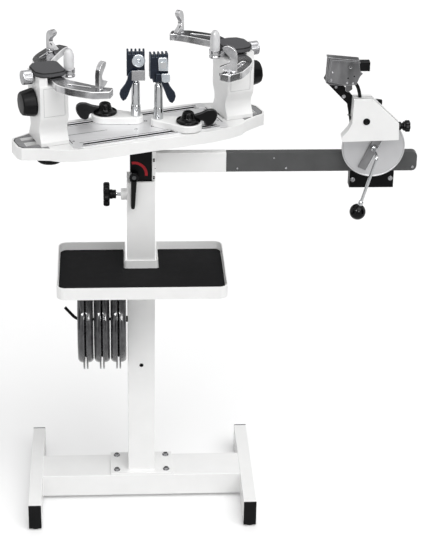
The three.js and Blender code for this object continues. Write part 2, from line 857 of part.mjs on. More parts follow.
// The least gap of a winding to itself, measured between points more than half a loop apart
function leastGap(points) {
  const apart = windingStepsPerLoop / 2;
  let least = Infinity;
  points.forEach((point, index) => {
    points.slice(index + apart).forEach((other) => {
      const distance = new THREE.Vector3(...point.place).distanceTo(new THREE.Vector3(...other.place));
      least = Math.min(least, distance);
    });
  });
  return least - stringRadius * 2;
}

function buildStringCases() {
  for (let index = 0; index < caseCount; index += 1) {
    const x = -columnHalf - caseFirst - index * casePitch;
    buildCase(`string_case_${index + 1}`, x);
    const points = windingPoints(x);
    place(`wound_string_${index + 1}`, toSolid(windingTube(points)), 'string');
    console.log(`wound_string_${index + 1} least gap to itself ${leastGap(points).toFixed(2)} mm`);
  }
}

// Side bar and brake lever
function buildSideBar() {
  const bracketTop = innerTop - sideBracketDrop;
  const bracketLow = columnTop + sideBracketGap;
  const bracket = block([innerHalf, sleeveStartX], [-innerHalf, innerHalf], [bracketLow, bracketTop]);
  const sleeveHalf = barHalf + sleeveExtra;
  const sleeve = block(
    [innerHalf, sleeveEndX], [-sleeveHalf, sleeveHalf], [barUnderside - sleeveExtra, barTop + sleeveExtra],
  );
  place('bar_sleeve', joined(bracket, sleeve), 'whitePaint');
  const shape = new THREE.Shape();
  shape.moveTo(sleeveEndX, barUnderside);
  shape.absarc(barEndX - barCorner, barUnderside + barCorner, barCorner, -Math.PI / 2, 0);
  shape.absarc(barEndX - barCorner, barTop - barCorner, barCorner, 0, Math.PI / 2);
  shape.lineTo(sleeveEndX, barTop);
  place('tension_bar', frontPlate(shape, -barHalf, barHalf), 'greyBar');
}

function buildBrakeLever() {
  const hubX = -leverHubShift;
  const hubHeight = innerTop - leverHubDrop;
  const backY = -innerHalf - restGap;
  const frontY = -innerHalf - leverHubLength;
  const bladeBackY = frontY + leverBladeThickness;
  const tipX = hubX - leverLean;
  const tipHeight = hubHeight - leverLength;
  const hub = bar([hubX, backY, hubHeight], [hubX, frontY, hubHeight], leverHubRadius);
  const blade = frontPlate(outline([
    [hubX - leverRootWidth / 2, hubHeight], [tipX - leverTipWidth / 2, tipHeight],
    [tipX + leverTipWidth / 2, tipHeight], [hubX + leverRootWidth / 2, hubHeight],
  ]), frontY, bladeBackY);
  const tip = bar([tipX, bladeBackY, tipHeight], [tipX, frontY, tipHeight], leverTipWidth / 2, smallSteps);
  place('brake_lever', joined(hub, blade, tip), 'blackPlastic');
}

// Tension head
function buildCarriage() {
  const length = [wheelX - carriageLeftReach, wheelX - carriageLeftReach + carriageLength];
  const slotHalf = barHalf + carriageGap;
  const backY = slotHalf + carriageBackWall;
  const frontY = backY - carriageDepth;
  const low = barUnderside - carriageGap - carriageSill;
  const slotUnderside = barUnderside - carriageGap;
  const slotTop = barTop + carriageTopGap;
  const bridgeTop = barTop + bridgeRise;
  const uprightX = [wheelX - uprightShift, wheelX - uprightShift + uprightWidth];
  const uprightUnderside = slotUnderside - uprightSkirt;
  const sill = block(length, [frontY, backY], [low, slotUnderside]);
  const back = block(length, [slotHalf, backY], [low, bridgeTop]);
  const bridge = block(uprightX, [uprightFrontY, backY], [slotTop, bridgeTop]);
  const front = block(uprightX, [uprightFrontY, -slotHalf], [uprightUnderside, armUnderside + uprightSeatRise]);
  const skirt = block(uprightX, [uprightFrontY, frontY + overrun], [uprightUnderside, slotUnderside]);
  place('carriage', joined(sill, back, bridge, front, skirt), 'blackPaint');
}

function strapOutline() {
  const down = [-Math.sin(strapLean), -Math.cos(strapLean)];
  const half = [Math.cos(strapLean) * strapWidth / 2, -Math.sin(strapLean) * strapWidth / 2];
  const at = (reach, sign) => [
    wheelX + down[0] * reach + half[0] * sign, wheelHeight + down[1] * reach + half[1] * sign,
  ];
  return outline([at(strapReach, -1), at(strapReach, 1), at(-strapTail, 1), at(-strapTail, -1)]);
}

function buildCrankWheel() {
  const at = (y) => [wheelX, y, wheelHeight];
  const wheel = bar(at(wheelFrontY), at(wheelBackY), wheelRadius, fineSteps);
  const hub = bar(at(wheelFrontY), at(uprightFrontY), wheelHubRadius);
  const strap = frontPlate(strapOutline(), wheelFrontY - strapThickness, wheelBackY);
  place('crank_wheel', joined(wheel, hub, strap), 'wheelGrey');
}

// A point on the crank arm's line, at a distance from the crank's axle
function onCrank(reach) {
  return [wheelX - Math.sin(crankLean) * reach, crankPlaneY, wheelHeight - Math.cos(crankLean) * reach];
}

function buildCrank() {
  const seatY = wheelFrontY - strapThickness - restGap;
  const seat = bar([wheelX, seatY, wheelHeight], [wheelX, seatY - crankSeatLength, wheelHeight], crankSeatRadius);
  const axle = bar([wheelX, seatY, wheelHeight], onCrank(0), crankRadius, smallSteps);
  const elbow = ball(onCrank(0), crankRadius, smallSteps);
  const tipReach = crankLength - ballSeatDepth;
  const arm = bar(onCrank(0), onCrank(tipReach), crankRadius, smallSteps);
  place('crank', joined(seat, axle, elbow, arm), 'chrome');
  const bore = bar(onCrank(tipReach + slideGap), onCrank(crankLength - ballRadius - overrun), crankRadius + slideGap, smallSteps);
  place('ball_knob', cutBy(ball(onCrank(crankLength), ballRadius, roundSteps), bore), 'glossBlack');
}

// Points moved towards the middle of their outline by a wall
function insetPoints(points, wall) {
  const middle = [0, 1].map((axis) => points.reduce((sum, point) => sum + point[axis], 0) / points.length);
  return points.map((point) => {
    const share = 1 - wall / Math.hypot(point[0] - middle[0], point[1] - middle[1]);
    return middle.map((centre, axis) => centre + (point[axis] - centre) * share);
  });
}

// The cover: a shell open at the back and below, with a solid head and a slot for the string path
function buildCover() {
  const points = fromShares(coverShares, [coverLeft, coverUnderside], coverWidth, coverHeight);
  const headLow = coverUnderside + coverHeight * coverHeadShare;
  const skirtBackY = coverFrontY + coverSkirtDepth;
  const skirt = frontPlate(outline(points), coverFrontY, skirtBackY);
  const inside = frontPlate(outline(insetPoints(points, coverWall)), coverFrontY + coverWall, skirtBackY + overrun);
  const mouth = block(
    [coverLeft + coverMouthInset, coverLeft + coverWidth - coverMouthInset],
    [coverFrontY + coverWall, skirtBackY + overrun],
    [coverUnderside - overrun, coverUnderside + coverMouthInset],
  );
  const below = block(
    [coverLeft - overrun, coverLeft + coverWidth + overrun], [coverFrontY - overrun, 0],
    [coverUnderside - overrun, headLow],
  );
  const head = cutBy(frontPlate(outline(points), coverFrontY, armPlateFrontY), below);
  const knobHeight = wheelHeight + tensionKnobRise;
  const knobBore = bar(
    [coverLeft + coverWidth - coverMouthInset, tensionKnobY, knobHeight],
    [coverLeft + coverWidth + overrun, tensionKnobY, knobHeight], tensionStemRadius + slideGap, smallSteps,
  );
  const slotLeft = coverLeft + coverSlotShift;
  const slot = block(
    [slotLeft, slotLeft + coverSlotLength], [coverFrontY + coverSlotInset, armPlateFrontY - coverSlotInset],
    [coverUnderside + coverHeight - coverSlotDepth, coverUnderside + coverHeight + overrun],
  );
  place('tension_cover', cutBy(joined(cutBy(skirt, inside, mouth), head), knobBore, slot), 'whitePaint');
}

function buildTensionKnob() {
  const height = wheelHeight + tensionKnobRise;
  const faceX = coverLeft + coverWidth + tensionKnobGap;
  const stem = bar(
    [faceX - tensionStemLength, tensionKnobY, height], [faceX + overrun, tensionKnobY, height], tensionStemRadius, smallSteps,
  );
  const star = sidePlate(starOutline(tensionKnobRadius), faceX, faceX + tensionKnobThickness, tensionKnobY, height);
  place('tension_knob', joined(stem, star), 'blackPlastic');
}

function buildGripperArm() {
  const shape = outline(fromShares(armShares, [armLeft, armUnderside], armWidth, armHeight));
  const boss = bar(
    [gripperPivotX, uprightFrontY, gripperPivotHeight], [gripperPivotX, gripperBackY + restGap, gripperPivotHeight],
    pivotBossRadius,
  );
  place('gripper_arm', joined(frontPlate(shape, armPlateFrontY, uprightFrontY), boss), 'blackPaint');
}

function buildGripper() {
  const points = fromShares(gripperShares, [gripperLeft, gripperUnderside], gripperWidth, gripperHeight);
  const slotFrontY = gripperFrontY + jawSlotInset;
  const slotBackY = slotFrontY + jawSlotWidth;
  const slotFloor = gripperTop - jawSlotDepth;
  const slot = block(
    [gripperLeft - overrun, gripperLeft + gripperWidth + overrun], [slotFrontY, slotBackY],
    [slotFloor, gripperTop + overrun],
  );
  place('gripper_body', cutBy(frontPlate(outline(points), gripperFrontY, gripperBackY), slot), 'gripperGrey');
  const jawBackY = slotBackY - slideGap;
  const jawLeft = gripperLeft + jawInset;
  const jawRight = jawLeft + jawLength;
  const jawUnderside = slotFloor + slideGap;
  const jaw = frontPlate(outline([
    [jawLeft, jawUnderside], [jawRight, jawUnderside], [jawRight, jawUnderside + jawEndHeight],
    [jawLeft, jawUnderside + jawHeight],
  ]), jawBackY - jawThickness, jawBackY);
  const grip = block(
    [jawRight - overrun, jawRight + jawGripLength], [gripperFrontY, gripperBackY],
    [jawUnderside, jawUnderside + jawEndHeight],
  );
  place('gripper_jaw', joined(jaw, grip), 'blackPlastic');
}

// Turntable
function allQuarters(half) {
  const lowerRight = half.map(([x, y]) => [x, -y]).reverse();
  const lowerLeft = half.slice(1).map(([x, y]) => [-x, -y]);
  const upperLeft = half.slice(1).map(([x, y]) => [-x, y]).reverse();
  return outline([...half, ...lowerRight, ...lowerLeft, ...upperLeft]);
}

function trackOutline(margin) {
  const x = trackHalfLength + margin;
  const y = trackWidth / 2 + margin;
  return roundedOutline([-x, x], [-y, y], trackCorner);
}

function buildTurntable() {
  const points = tableHalfShares.map(([along, across]) => [along * tableHalfLength, across * tableHalfWidth]);
  const trackUnderside = trackTop - trackThickness;
  const channelHalf = channelWidth / 2;
  const channelEnd = slotHalfLength + nutSize / 2;
  const wellFloor = tableRim - wellDepth;
  const casting = plate(allQuarters(points), tableUnderside, tableRim);
  const recess = plate(trackOutline(restGap), trackUnderside - restGap, tableRim + overrun);
  const pinBore = upright(
    0, 0, tableUnderside - overrun, tableUnderside + pinHeight, pinRadius + slideGap, fineSteps,
  );
  const cuts = [-1, 1].flatMap((side) => [
    block(
      [-channelEnd, channelEnd], [side * slotOffset - channelHalf, side * slotOffset + channelHalf],
      [trackUnderside - channelDepth, tableRim],
    ),
    block([side * wellInner, side * wellOuter], [-wellWidth / 2, wellWidth / 2], [wellFloor, tableRim + overrun]),
    block(
      [side * wellSlotInner, side * (wellSlotInner + wellSlotLength)], [-wellSlotWidth / 2, wellSlotWidth / 2],
      [tableUnderside - overrun, wellFloor + overrun],
    ),
  ]);
  place('turntable', cutBy(casting, recess, pinBore, ...cuts), 'whitePaint', turned);
  const slots = [-1, 1].map((side) => plate(
    roundedOutline(
      [-slotHalfLength, slotHalfLength],
      [side * slotOffset - slotWidth / 2, side * slotOffset + slotWidth / 2], slotWidth / 2 - slotFlat,
    ),
    trackUnderside - overrun, trackTop + overrun,
  ));
  place('track_plate', cutBy(plate(trackOutline(0), trackUnderside, trackTop), ...slots), 'brushed', turned);
}

// Towers, each drawn in a group at its own place on the turntable, with +1 or -1 for the outward side
function buildTower(name, side, group) {
  const front = towerHalfShares.map(([across, up]) => [across * towerHalfDepth, towerFoot + up * towerHeight]);
  const rear = front.map(([y, z]) => [-y, z]).reverse();
  const body = sidePlate(outline([...front, ...rear]), -towerHalf, towerHalf);
  const head = block(
    [side * (towerHalf - towerHeadWidth), side * towerHalf], [-towerHeadHalfDepth, towerHeadHalfDepth],
    [towerTop - overrun, towerHeadTop],
  );
  const tongueHalf = wellSlotWidth / 2 - slideGap;
  const tongueUnderside = tableRim - towerTongueDepth;
  const tongue = block(
    [side * towerTongueStart, side * (towerTongueStart + towerTongueLength)], [-tongueHalf, tongueHalf],
    [tongueUnderside, towerFoot + overrun],
  );
  const pins = [-1, 1].map((end) => upright(
    side * pivotPinShift, end * pivotPinOffset, towerTop - overrun, shoulderTop, pivotPinRadius, smallSteps,
  ));
  const across = (start, end, height, radius) => bar([side * start, 0, height], [side * end, 0, height], radius, smallSteps);
  const outside = towerHalf + overrun;
  const bores = [
    across(towerHalf - towerHeadWidth - overrun, outside, holdScrewHeight, silverStemRadius + slideGap),
    across(towerHalf - bigKnobStemLength - overrun, outside, bigKnobHeight, bigKnobStemRadius + slideGap),
    across(grubHoleDepth - towerHalf, -outside, towerTop - grubHoleDrop, grubHoleRadius),
    upright(
      0, 0, tongueUnderside - overrun, tableUnderside + lockStemLength + slideGap,
      lockStemRadius + slideGap, smallSteps,
    ),
  ];
  place(name, cutBy(joined(body, head, tongue, ...pins), ...bores), 'whitePaint', group);
}

function buildPad(name, side, group) {
  const inner = towerHalf + padOverhang - padLength;
  const half = padHalfShares.map(([along, across]) => [side * (inner + along * padLength), across * padHalfWidth]);
  const other = half.slice(1, -1).map(([x, y]) => [x, -y]).reverse();
  place(name, plate(outline([...half, ...other]), padUnderside, padUnderside + padThickness), 'padRubber', group);
}

// A point of the shoulder arm, from its shares along and across the arm's outline
function shoulderPoint([along, across], side, end) {
  return [side * (shoulderInner + along * shoulderWidth), end * (shoulderStart + across * shoulderReach)];
}

function buildShoulderArm(corner, side, end, group) {
  const points = shoulderShares.map((shares) => shoulderPoint(shares, side, end));
  const [hookX, hookY] = shoulderPoint(hookPlaceShares[corner], side, end);
  const [from, to] = shoulderSlotShares.map((shares) => new THREE.Vector2(...shoulderPoint(shares, side, end)));
  const along = to.clone().sub(from).normalize().multiplyScalar(shoulderSlotWidth / 2);
  const corners = [
    [from.x - along.y, from.y + along.x], [from.x + along.y, from.y - along.x],
    [to.x + along.y, to.y - along.x], [to.x - along.y, to.y + along.x],
  ];
  const low = shoulderUnderside - overrun;
  const high = shoulderTop + overrun;
  const cuts = [
    plate(outline(corners), low, high),
    upright(side * pivotPinShift, end * pivotPinOffset, low, high, pivotPinRadius + slideGap, smallSteps),
    upright(hookX, hookY, low, high, hookStemRadius + slideGap, smallSteps),
  ];
  const arm = cutBy(plate(outline(points), shoulderUnderside, shoulderTop), ...cuts);
  place(`shoulder_arm_${corner}`, arm, 'castMetal', group);
}

function buildHook(corner, side, end, group) {
  const [x, y] = shoulderPoint(hookPlaceShares[corner], side, end);
  const base = shoulderTop + restGap;
  const half = hookThickness / 2;
  const points = fromShares(hookShares, [-hookBack, base], hookWidth, hookHeights[corner]);
  const claw = frontPlate(outline(points), -half, half);
  const foot = upright(0, 0, base, base + hookFootHeight, hookFootRadius, smallSteps);
  const stem = upright(0, 0, shoulderUnderside + hookStemLift, base + hookFootHeight, hookStemRadius, smallSteps);
  const mesh = place(`claw_hook_${corner}`, joined(claw, foot, stem), 'castMetal', group);
  mesh.position.set(x, y, 0);
  mesh.rotation.z = hookTurns[corner];
}

function buildHoldDown(name, side, inset, group) {
  const low = towerTop + armGap;
  const baseTop = shoulderTop + noseBaseRise;
  const bodyX = -side * inset;
  const barEnd = side * noseBarReach;
  const barHalfWidth = noseBarWidth / 2;
  const profile = noseProfileShares.map(([out, up]) => [out * noseRadius, baseTop + up * noseHeight]);
  const nose = toSolid(turnedGeometry([[0, low], [noseRadius, low], ...profile], roundSteps)
    .translate(bodyX, 0, 0));
  const base = upright(bodyX, 0, low, baseTop, noseBaseRadius);
  const slider = block([bodyX, barEnd], [-barHalfWidth, barHalfWidth], [low, shoulderTop]);
  const bore = bar(
    [side * (noseBarReach - noseBoreDepth), 0, holdScrewHeight], [side * (noseBarReach + overrun), 0, holdScrewHeight],
    silverStemRadius + slideGap, smallSteps,
  );
  place(name, cutBy(joined(base, nose, slider), bore), 'castMetal', group);
}

function buildSilverKnob(name, side, group) {
  const at = (x) => [side * x, 0, holdScrewHeight];
  const back = towerHalf + silverOutset;
  const stem = bar(at(towerHalf - silverStemLength), at(back + overrun), silverStemRadius, smallSteps);
  const collar = bar(at(towerHalf + restGap), at(back + overrun), silverCollarRadius, smallSteps);
  const grip = bar(at(back), at(back + silverLength), silverRadius, fineSteps);
  place(name, joined(stem, collar, grip), 'brushed', group);
}

function buildBigKnob(name, side, outset, group) {
  const at = (x) => [side * x, 0, bigKnobHeight];
  const back = towerHalf + outset;
  const front = back + bigKnobLength;
  const edge = front - bigKnobEdge;
  const stem = bar(at(towerHalf - bigKnobStemLength), at(back + overrun), bigKnobStemRadius, smallSteps);
  const collar = bar(at(towerHalf + restGap), at(back + overrun), bigKnobCollarRadius, smallSteps);
  const cone = bar(at(back), at(edge), bigKnobBackRadius, fineSteps, bigKnobFrontRadius);
  const face = bar(at(edge), at(front), bigKnobFrontRadius, fineSteps, bigKnobFrontRadius - bigKnobEdge);
  place(name, joined(stem, collar, cone, face), 'blackPlastic', group);
}

function buildLockKnob(group) {
  const top = tableUnderside - lockKnobDrop;
  const disc = upright(0, 0, top - lockKnobThickness, top, lockKnobRadius);
  const neck = upright(0, 0, top, tableUnderside - restGap, lockNeckRadius, smallSteps);
  const stem = upright(0, 0, top, tableUnderside + lockStemLength, lockStemRadius, smallSteps);
  place('lock_knob', joined(disc, neck, stem), 'blackPlastic', group);
}

function buildTowerGroup(label, side) {
  const group = groupAt(turned, side * (tableHalfLength - towerEndMargins[label]), 0, 0);
  buildTower(`tower_${label}`, side, group);
  buildPad(`racket_pad_${label}`, side, group);
  buildHoldDown(`hold_down_${label}`, side, noseInsets[label], group);
  buildSilverKnob(`hold_knob_${label}`, side, group);
  buildBigKnob(`arm_knob_${label}`, side, bigKnobOutsets[label], group);
  for (const [where, end] of [['front', -1], ['rear', 1]]) {
    const corner = `${label}_${where}`;
    buildShoulderArm(corner, side, end, group);
    buildHook(corner, side, end, group);
  }
  return group;
}

// String clamps, each drawn about the axis of its slot nut
function buildSlotNut(name, group) {
  const half = nutSize / 2;
  const nut = block([-half, half], [-half, half], [nutUnderside, nutTop]);
  const stem = upright(0, 0, nutUnderside, clampBaseTop + nutStemRise, nutStemRadius, smallSteps);
  place(name, joined(nut, stem), 'brushed', group);
}

function clampBaseOutline() {
  const shape = new THREE.Shape();
  const lean = Math.acos((clampBaseRadius - clampPostEndRadius) / clampArmLength);
  shape.absarc(0, 0, clampBaseRadius, lean, Math.PI * 2 - lean);
  shape.absarc(clampArmLength, 0, clampPostEndRadius, -lean, lean);
  return shape;
}

function buildClampBase(name, group) {
  const body = plate(clampBaseOutline(), clampBaseUnderside, clampBaseTop);
  const bore = upright(
    0, 0, clampBaseUnderside - overrun, clampBaseTop + overrun, nutStemRadius + slideGap, smallSteps,
  );
  const low = clampBaseTop - overrun;
  const profile = postShares.map(([out, up]) => [out * postRadius, clampBaseTop + up * postHeight]);
  const post = toSolid(turnedGeometry([[0, low], [postRadius, low], ...profile], roundSteps)
    .translate(clampArmLength, 0, 0));
  place(name, joined(cutBy(body, bore), post), 'whitePaint', group);
}

// The cam lever: a dished disc with a dome, and an upright fin that hangs down beyond the base
function buildCamLever(name, group) {
  const low = clampBaseTop + restGap;
  const boreRadius = nutStemRadius + slideGap;
  const rim = camShares.map(([out, up]) => [out * camRadius, low + up * camHeight]);
  const boreTop = low + nutStemRise + restGap;
  const profile = [[0, low + camHeight], ...rim, [boreRadius, low], [boreRadius, boreTop], [0, boreTop]];
  const dome = toSolid(turnedGeometry(profile.reverse(), roundSteps));
  const points = fromShares(finShares, [0, low - finDrop], finLength, finHeight);
  const fin = frontPlate(outline(points), -finThickness / 2, finThickness / 2);
  place(name, joined(dome, fin), 'glossBlack', group);
}

function buildClampHead(name, group) {
  const half = headWidth / 2;
  const halfDepth = headDepth / 2;
  const top = headUnderside + headHeight;
  const neckTop = headUnderside + headNeckHeight;
  const neck = block([-headNeckWidth / 2, headNeckWidth / 2], [-halfDepth, halfDepth], [headUnderside, neckTop + overrun]);
  const body = block([-half, half], [-halfDepth, halfDepth], [neckTop, top]);
  const pitch = (headWidth - toothWidth) / (toothCount - 1);
  const teeth = Array.from({ length: toothCount }, (_, tooth) => {
    const start = -half + tooth * pitch;
    return block([start, start + toothWidth], [-halfDepth, halfDepth], [top - overrun, top + toothHeight]);
  });
  const split = block(
    [-half - overrun, half + overrun], [-jawSplit / 2, jawSplit / 2], [top + toothHeight - jawSplitDepth, top + toothHeight + overrun],
  );
  place(name, cutBy(joined(neck, body, ...teeth), split), 'navy', group);
}

function buildJawLever(name, side, group) {
  const backY = -headDepth / 2 - jawLeverGap;
  const top = jawPivotHeight + jawLeverRise;
  const points = fromShares(jawLeverShares, [0, top - jawLeverLength], jawLeverReach, jawLeverLength);
  const blade = frontPlate(outline(points.map(([x, z]) => [side * x, z])), backY - jawLeverThickness, backY);
  const at = (y) => [side * jawPivotShift, y, jawPivotHeight];
  const stub = bar(at(-headDepth / 2 - restGap), at(backY - overrun), jawPivotRadius, smallSteps);
  place(name, joined(blade, stub), 'navy', group);
}

function buildClamp(label, side) {
  const nutPlace = groupAt(turned, slotNutPlaces[label], -side * slotOffset, 0);
  buildSlotNut(`slot_nut_${label}`, nutPlace);
  const swing = groupAt(nutPlace, 0, 0, clampTurns[label]);
  buildClampBase(`clamp_base_${label}`, swing);
  buildCamLever(`cam_lever_${label}`, groupAt(nutPlace, 0, 0, camTurns[label]));
  const headPlace = groupAt(swing, clampArmLength, 0, headTurns[label] - clampTurns[label]);
  buildClampHead(`clamp_head_${label}`, headPlace);
  buildJawLever(`jaw_lever_${label}`, side, headPlace);
}

buildBaseFrame();
for (const [where, end] of [['front', -1], ['rear', 1]]) {
  buildFootCap(`foot_cap_${where}_left`, -1, end);
  buildFootCap(`foot_cap_${where}_right`, 1, end);
}
buildColumn();
buildHeightKnob();
buildInnerColumn();
buildTray();
buildCaseRod();
buildStringCases();
buildSideBar();
buildBrakeLever();
buildCarriage();
buildCrankWheel();
buildCrank();
buildCover();
buildTensionKnob();
buildGripperArm();
buildGripper();
buildTurntable();
buildLockKnob(buildTowerGroup('left', -1));
buildTowerGroup('right', 1);
buildClamp('left', -1);
buildClamp('right', 1);

machine.position.x = -columnSetback;

export default machine;
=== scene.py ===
"""Racket stringing machine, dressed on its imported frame.

Drawing lengths are millimetres in the machine's own frame: +X along the side bar, +Y away from the
operator, +Z up, with the stand's middle at X = -190. Meshes are scaled to metres as they are made.
"""
import json
import logging
from dataclasses import dataclass, field, replace
from enum import Enum

import bmesh
import bpy
import numpy as np
from mathutils import Matrix


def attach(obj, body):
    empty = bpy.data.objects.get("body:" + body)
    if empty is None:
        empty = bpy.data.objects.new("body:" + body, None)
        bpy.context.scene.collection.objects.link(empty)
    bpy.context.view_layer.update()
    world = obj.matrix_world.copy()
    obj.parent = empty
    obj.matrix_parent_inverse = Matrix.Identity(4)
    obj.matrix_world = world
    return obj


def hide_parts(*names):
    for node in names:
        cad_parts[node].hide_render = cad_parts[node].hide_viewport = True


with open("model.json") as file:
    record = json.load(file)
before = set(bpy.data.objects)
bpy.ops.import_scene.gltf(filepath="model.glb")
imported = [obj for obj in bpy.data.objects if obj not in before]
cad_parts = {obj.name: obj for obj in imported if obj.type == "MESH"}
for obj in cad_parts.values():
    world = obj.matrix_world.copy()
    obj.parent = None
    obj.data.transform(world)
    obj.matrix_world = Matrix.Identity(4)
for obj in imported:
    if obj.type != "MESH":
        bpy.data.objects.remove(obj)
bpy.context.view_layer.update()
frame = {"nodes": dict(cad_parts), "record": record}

logger = logging.getLogger("stringing_machine")
Points = np.ndarray
Shape = tuple[np.ndarray, list]
Colour = tuple[float, float, float]

METRE = 0.001
WELD = 1e-6
SMALLEST = 1e-9
HAIR = 0.01
CORNER_SHARE = 0.48
UPRIGHT_LIMIT = 0.9
LOBE_POWER = 0.7
FLAT_ANGLE = 0.6
SHARP_ANGLE = 32.0
ROUNDED_ANGLE = 34.0
HEAD_SOCKET = (0.5, 0.4)
HEAD_SUNK = 0.5
HEAD_ROUNDING = 0.16
DUST_COLOUR = (0.35, 0.34, 0.32)
BUMP_STRENGTH = 0.6
COAT_ROUGHNESS = 0.06
UP = (0, 0, 1)
LEFT = (-1, 0, 0)
RIGHT = (1, 0, 0)
TOWARDS = (0, -1, 0)
AWAY = (0, 1, 0)
STAND_X = -190.0
TABLE_TURN = 20.4
NODE_BODY = {
    node: body
    for body, nodes in frame["record"]["behaviour"]["bodies"].items()
    for node in nodes
}


class Axis(Enum):
    """The machine axis that a flat outline is carried along."""

    X = "x"
    Y = "y"
    Z = "z"


class Pattern(Enum):
    """The small-scale pattern that a finish shows."""

    POWDER = "powder"
    BRUSHED = "brushed"
    CAST = "cast"
    STIPPLE = "stipple"
    SMOOTH = "smooth"


# Places


@dataclass(frozen=True)
class Place:
    """A drawing place: an origin, a turn about the vertical in degrees, and a side that mirrors X."""

    x: float = STAND_X
    y: float = 0.0
    turn: float = 0.0
    side: int = 1

    def world(self, points: Points) -> Points:
        """Turn and shift local points: X' = x + cos·X − sin·Y, Y' = y + sin·X + cos·Y.

        Args:
            points: Local points in millimetres.

        Returns:
            The points in the machine's frame.
        """
        local = np.asarray(points, float) * (self.side, 1.0, 1.0)
        angle = np.radians(self.turn)
        cos, sin = np.cos(angle), np.sin(angle)
        across = self.x + cos * local[:, 0] - sin * local[:, 1]
        away = self.y + sin * local[:, 0] + cos * local[:, 1]
        return np.column_stack((across, away, local[:, 2]))

    def inner(self, x: float, y: float, turn: float = 0.0, side: int = 1) -> "Place":
        """Make a place inside this one.

        Args:
            x: Local X of the new origin.
            y: Local Y of the new origin.
            turn: Further turn in degrees.
            side: The new place's side.

        Returns:
            The new place.
        """
        origin = self.world(np.array([[x, y, 0.0]]))[0]
        return Place(origin[0], origin[1], self.turn + turn, side)


MACHINE = Place()
TABLE = Place(turn=TABLE_TURN)


# Outlines and surfaces


def unit(vectors: Points) -> Points:
    """Scale vectors to length one."""
    return vectors / np.maximum(np.linalg.norm(vectors, axis=-1, keepdims=True), SMALLEST)


def drop_repeats(points: Points) -> Points:
    """Leave out points that repeat the one before."""
    apart = np.linalg.norm(np.diff(points, axis=0), axis=1) > WELD
    return points[np.concatenate(([True], apart))]


def rounded(points: Points, radius: float | Points, steps: int = 5, closed: bool = True) -> Points:
    """Round the corners of a path: each corner P becomes (1−t)²·A + 2t(1−t)·P + t²·B between two edge points.

    Args:
        points: Corner points in two or three dimensions.
        radius: How far from each corner the curve starts, one value or one per corner.
        steps: Pieces in each corner's curve.
        closed: Whether the path's ends join.

    Returns:
        The rounded path.
    """
    corners = np.asarray(points, float)
    back = np.roll(corners, 1, 0) - corners
    ahead = np.roll(corners, -1, 0) - corners
    reach = np.broadcast_to(np.asarray(radius, float), (len(corners),)).copy()
    if not closed:
        reach[[0, -1]] = 0.0
    near = np.minimum(reach, CORNER_SHARE * np.linalg.norm(back, axis=1))[:, None]
    far = np.minimum(reach, CORNER_SHARE * np.linalg.norm(ahead, axis=1))[:, None]
    start = (corners + unit(back) * near)[:, None, :]
    end = (corners + unit(ahead) * far)[:, None, :]
    share = np.linspace(0.0, 1.0, steps + 1)[None, :, None]
    middle = corners[:, None, :]
    curve = (1 - share) ** 2 * start + 2 * share * (1 - share) * middle + share**2 * end
    return drop_repeats(curve.reshape(-1, corners.shape[1]))


def flowing(points: Points, steps: int = 6, closed: bool = True) -> Points:
    """Pass a smooth curve through points: each span is a cubic whose end slopes come from its neighbours.

    Args:
        points: Points that the curve passes through.
        steps: Pieces in each span.
        closed: Whether the last point joins the first.

    Returns:
        The points of the curve.
    """
    knots = np.asarray(points, float)
    if closed:
        before, start, end, after = (np.roll(knots, shift, 0) for shift in (1, 0, -1, -2))
    else:
        padded = np.vstack((2 * knots[0] - knots[1], knots, 2 * knots[-1] - knots[-2]))
        before, start, end, after = padded[:-3], padded[1:-2], padded[2:-1], padded[3:]
    share = (np.arange(steps) / steps)[None, :, None]
    before, start, end, after = (part[:, None, :] for part in (before, start, end, after))
    curve = 0.5 * (
        2 * start
        + (end - before) * share
        + (2 * before - 5 * start + 4 * end - after) * share**2
        + (3 * start - before - 3 * end + after) * share**3
    )
    line = curve.reshape(-1, knots.shape[1])
    return line if closed else np.vstack((line, knots[-1]))


def grid_faces(rows: int, columns: int, wrap_rows: bool = False, wrap_columns: bool = True) -> list:
    """List the four-sided faces of a grid of points.

    Args:
        rows: Rows of points.
        columns: Points in each row.
        wrap_rows: Whether the last row joins the first.
        wrap_columns: Whether each row's last point joins its first.

    Returns:
        The corner numbers of each face.
    """
    row = np.arange(rows if wrap_rows else rows - 1)[:, None]
    column = np.arange(columns if wrap_columns else columns - 1)[None, :]
    next_row = (row + 1) % rows
    next_column = (column + 1) % columns
    corners = np.stack(
        (
            row * columns + column,
            row * columns + next_column,
            next_row * columns + next_column,
            next_row * columns + column,
        ),
        axis=-1,
    )
    return corners.reshape(-1, 4).tolist()


def prism(outline: Points, low: float, high: float, axis: Axis = Axis.Z) -> Shape:
    """Carry a closed outline from low to high along one axis, with flat ends.

    Args:
        outline: Outline points in the plane square to the axis.
        low: Start along the axis.
        high: End along the axis.
        axis: The axis of the carry.

    Returns:
        The closed shape.
    """
    count = len(outline)
    first, second = np.vstack((outline, outline)).T
    depth = np.repeat((low, high), count)
    columns = {Axis.Z: (first, second, depth), Axis.Y: (first, depth, second), Axis.X: (depth, first, second)}
    ends = [list(range(count)), list(range(count, 2 * count))]
    return np.column_stack(columns[axis]), ends + grid_faces(2, count)


def slab(x: tuple, y: tuple, z: tuple) -> Shape:
    """Make a plain slab between limits on each axis, to be finished with rounded edges."""
    return prism(box_outline(x, y), *z)


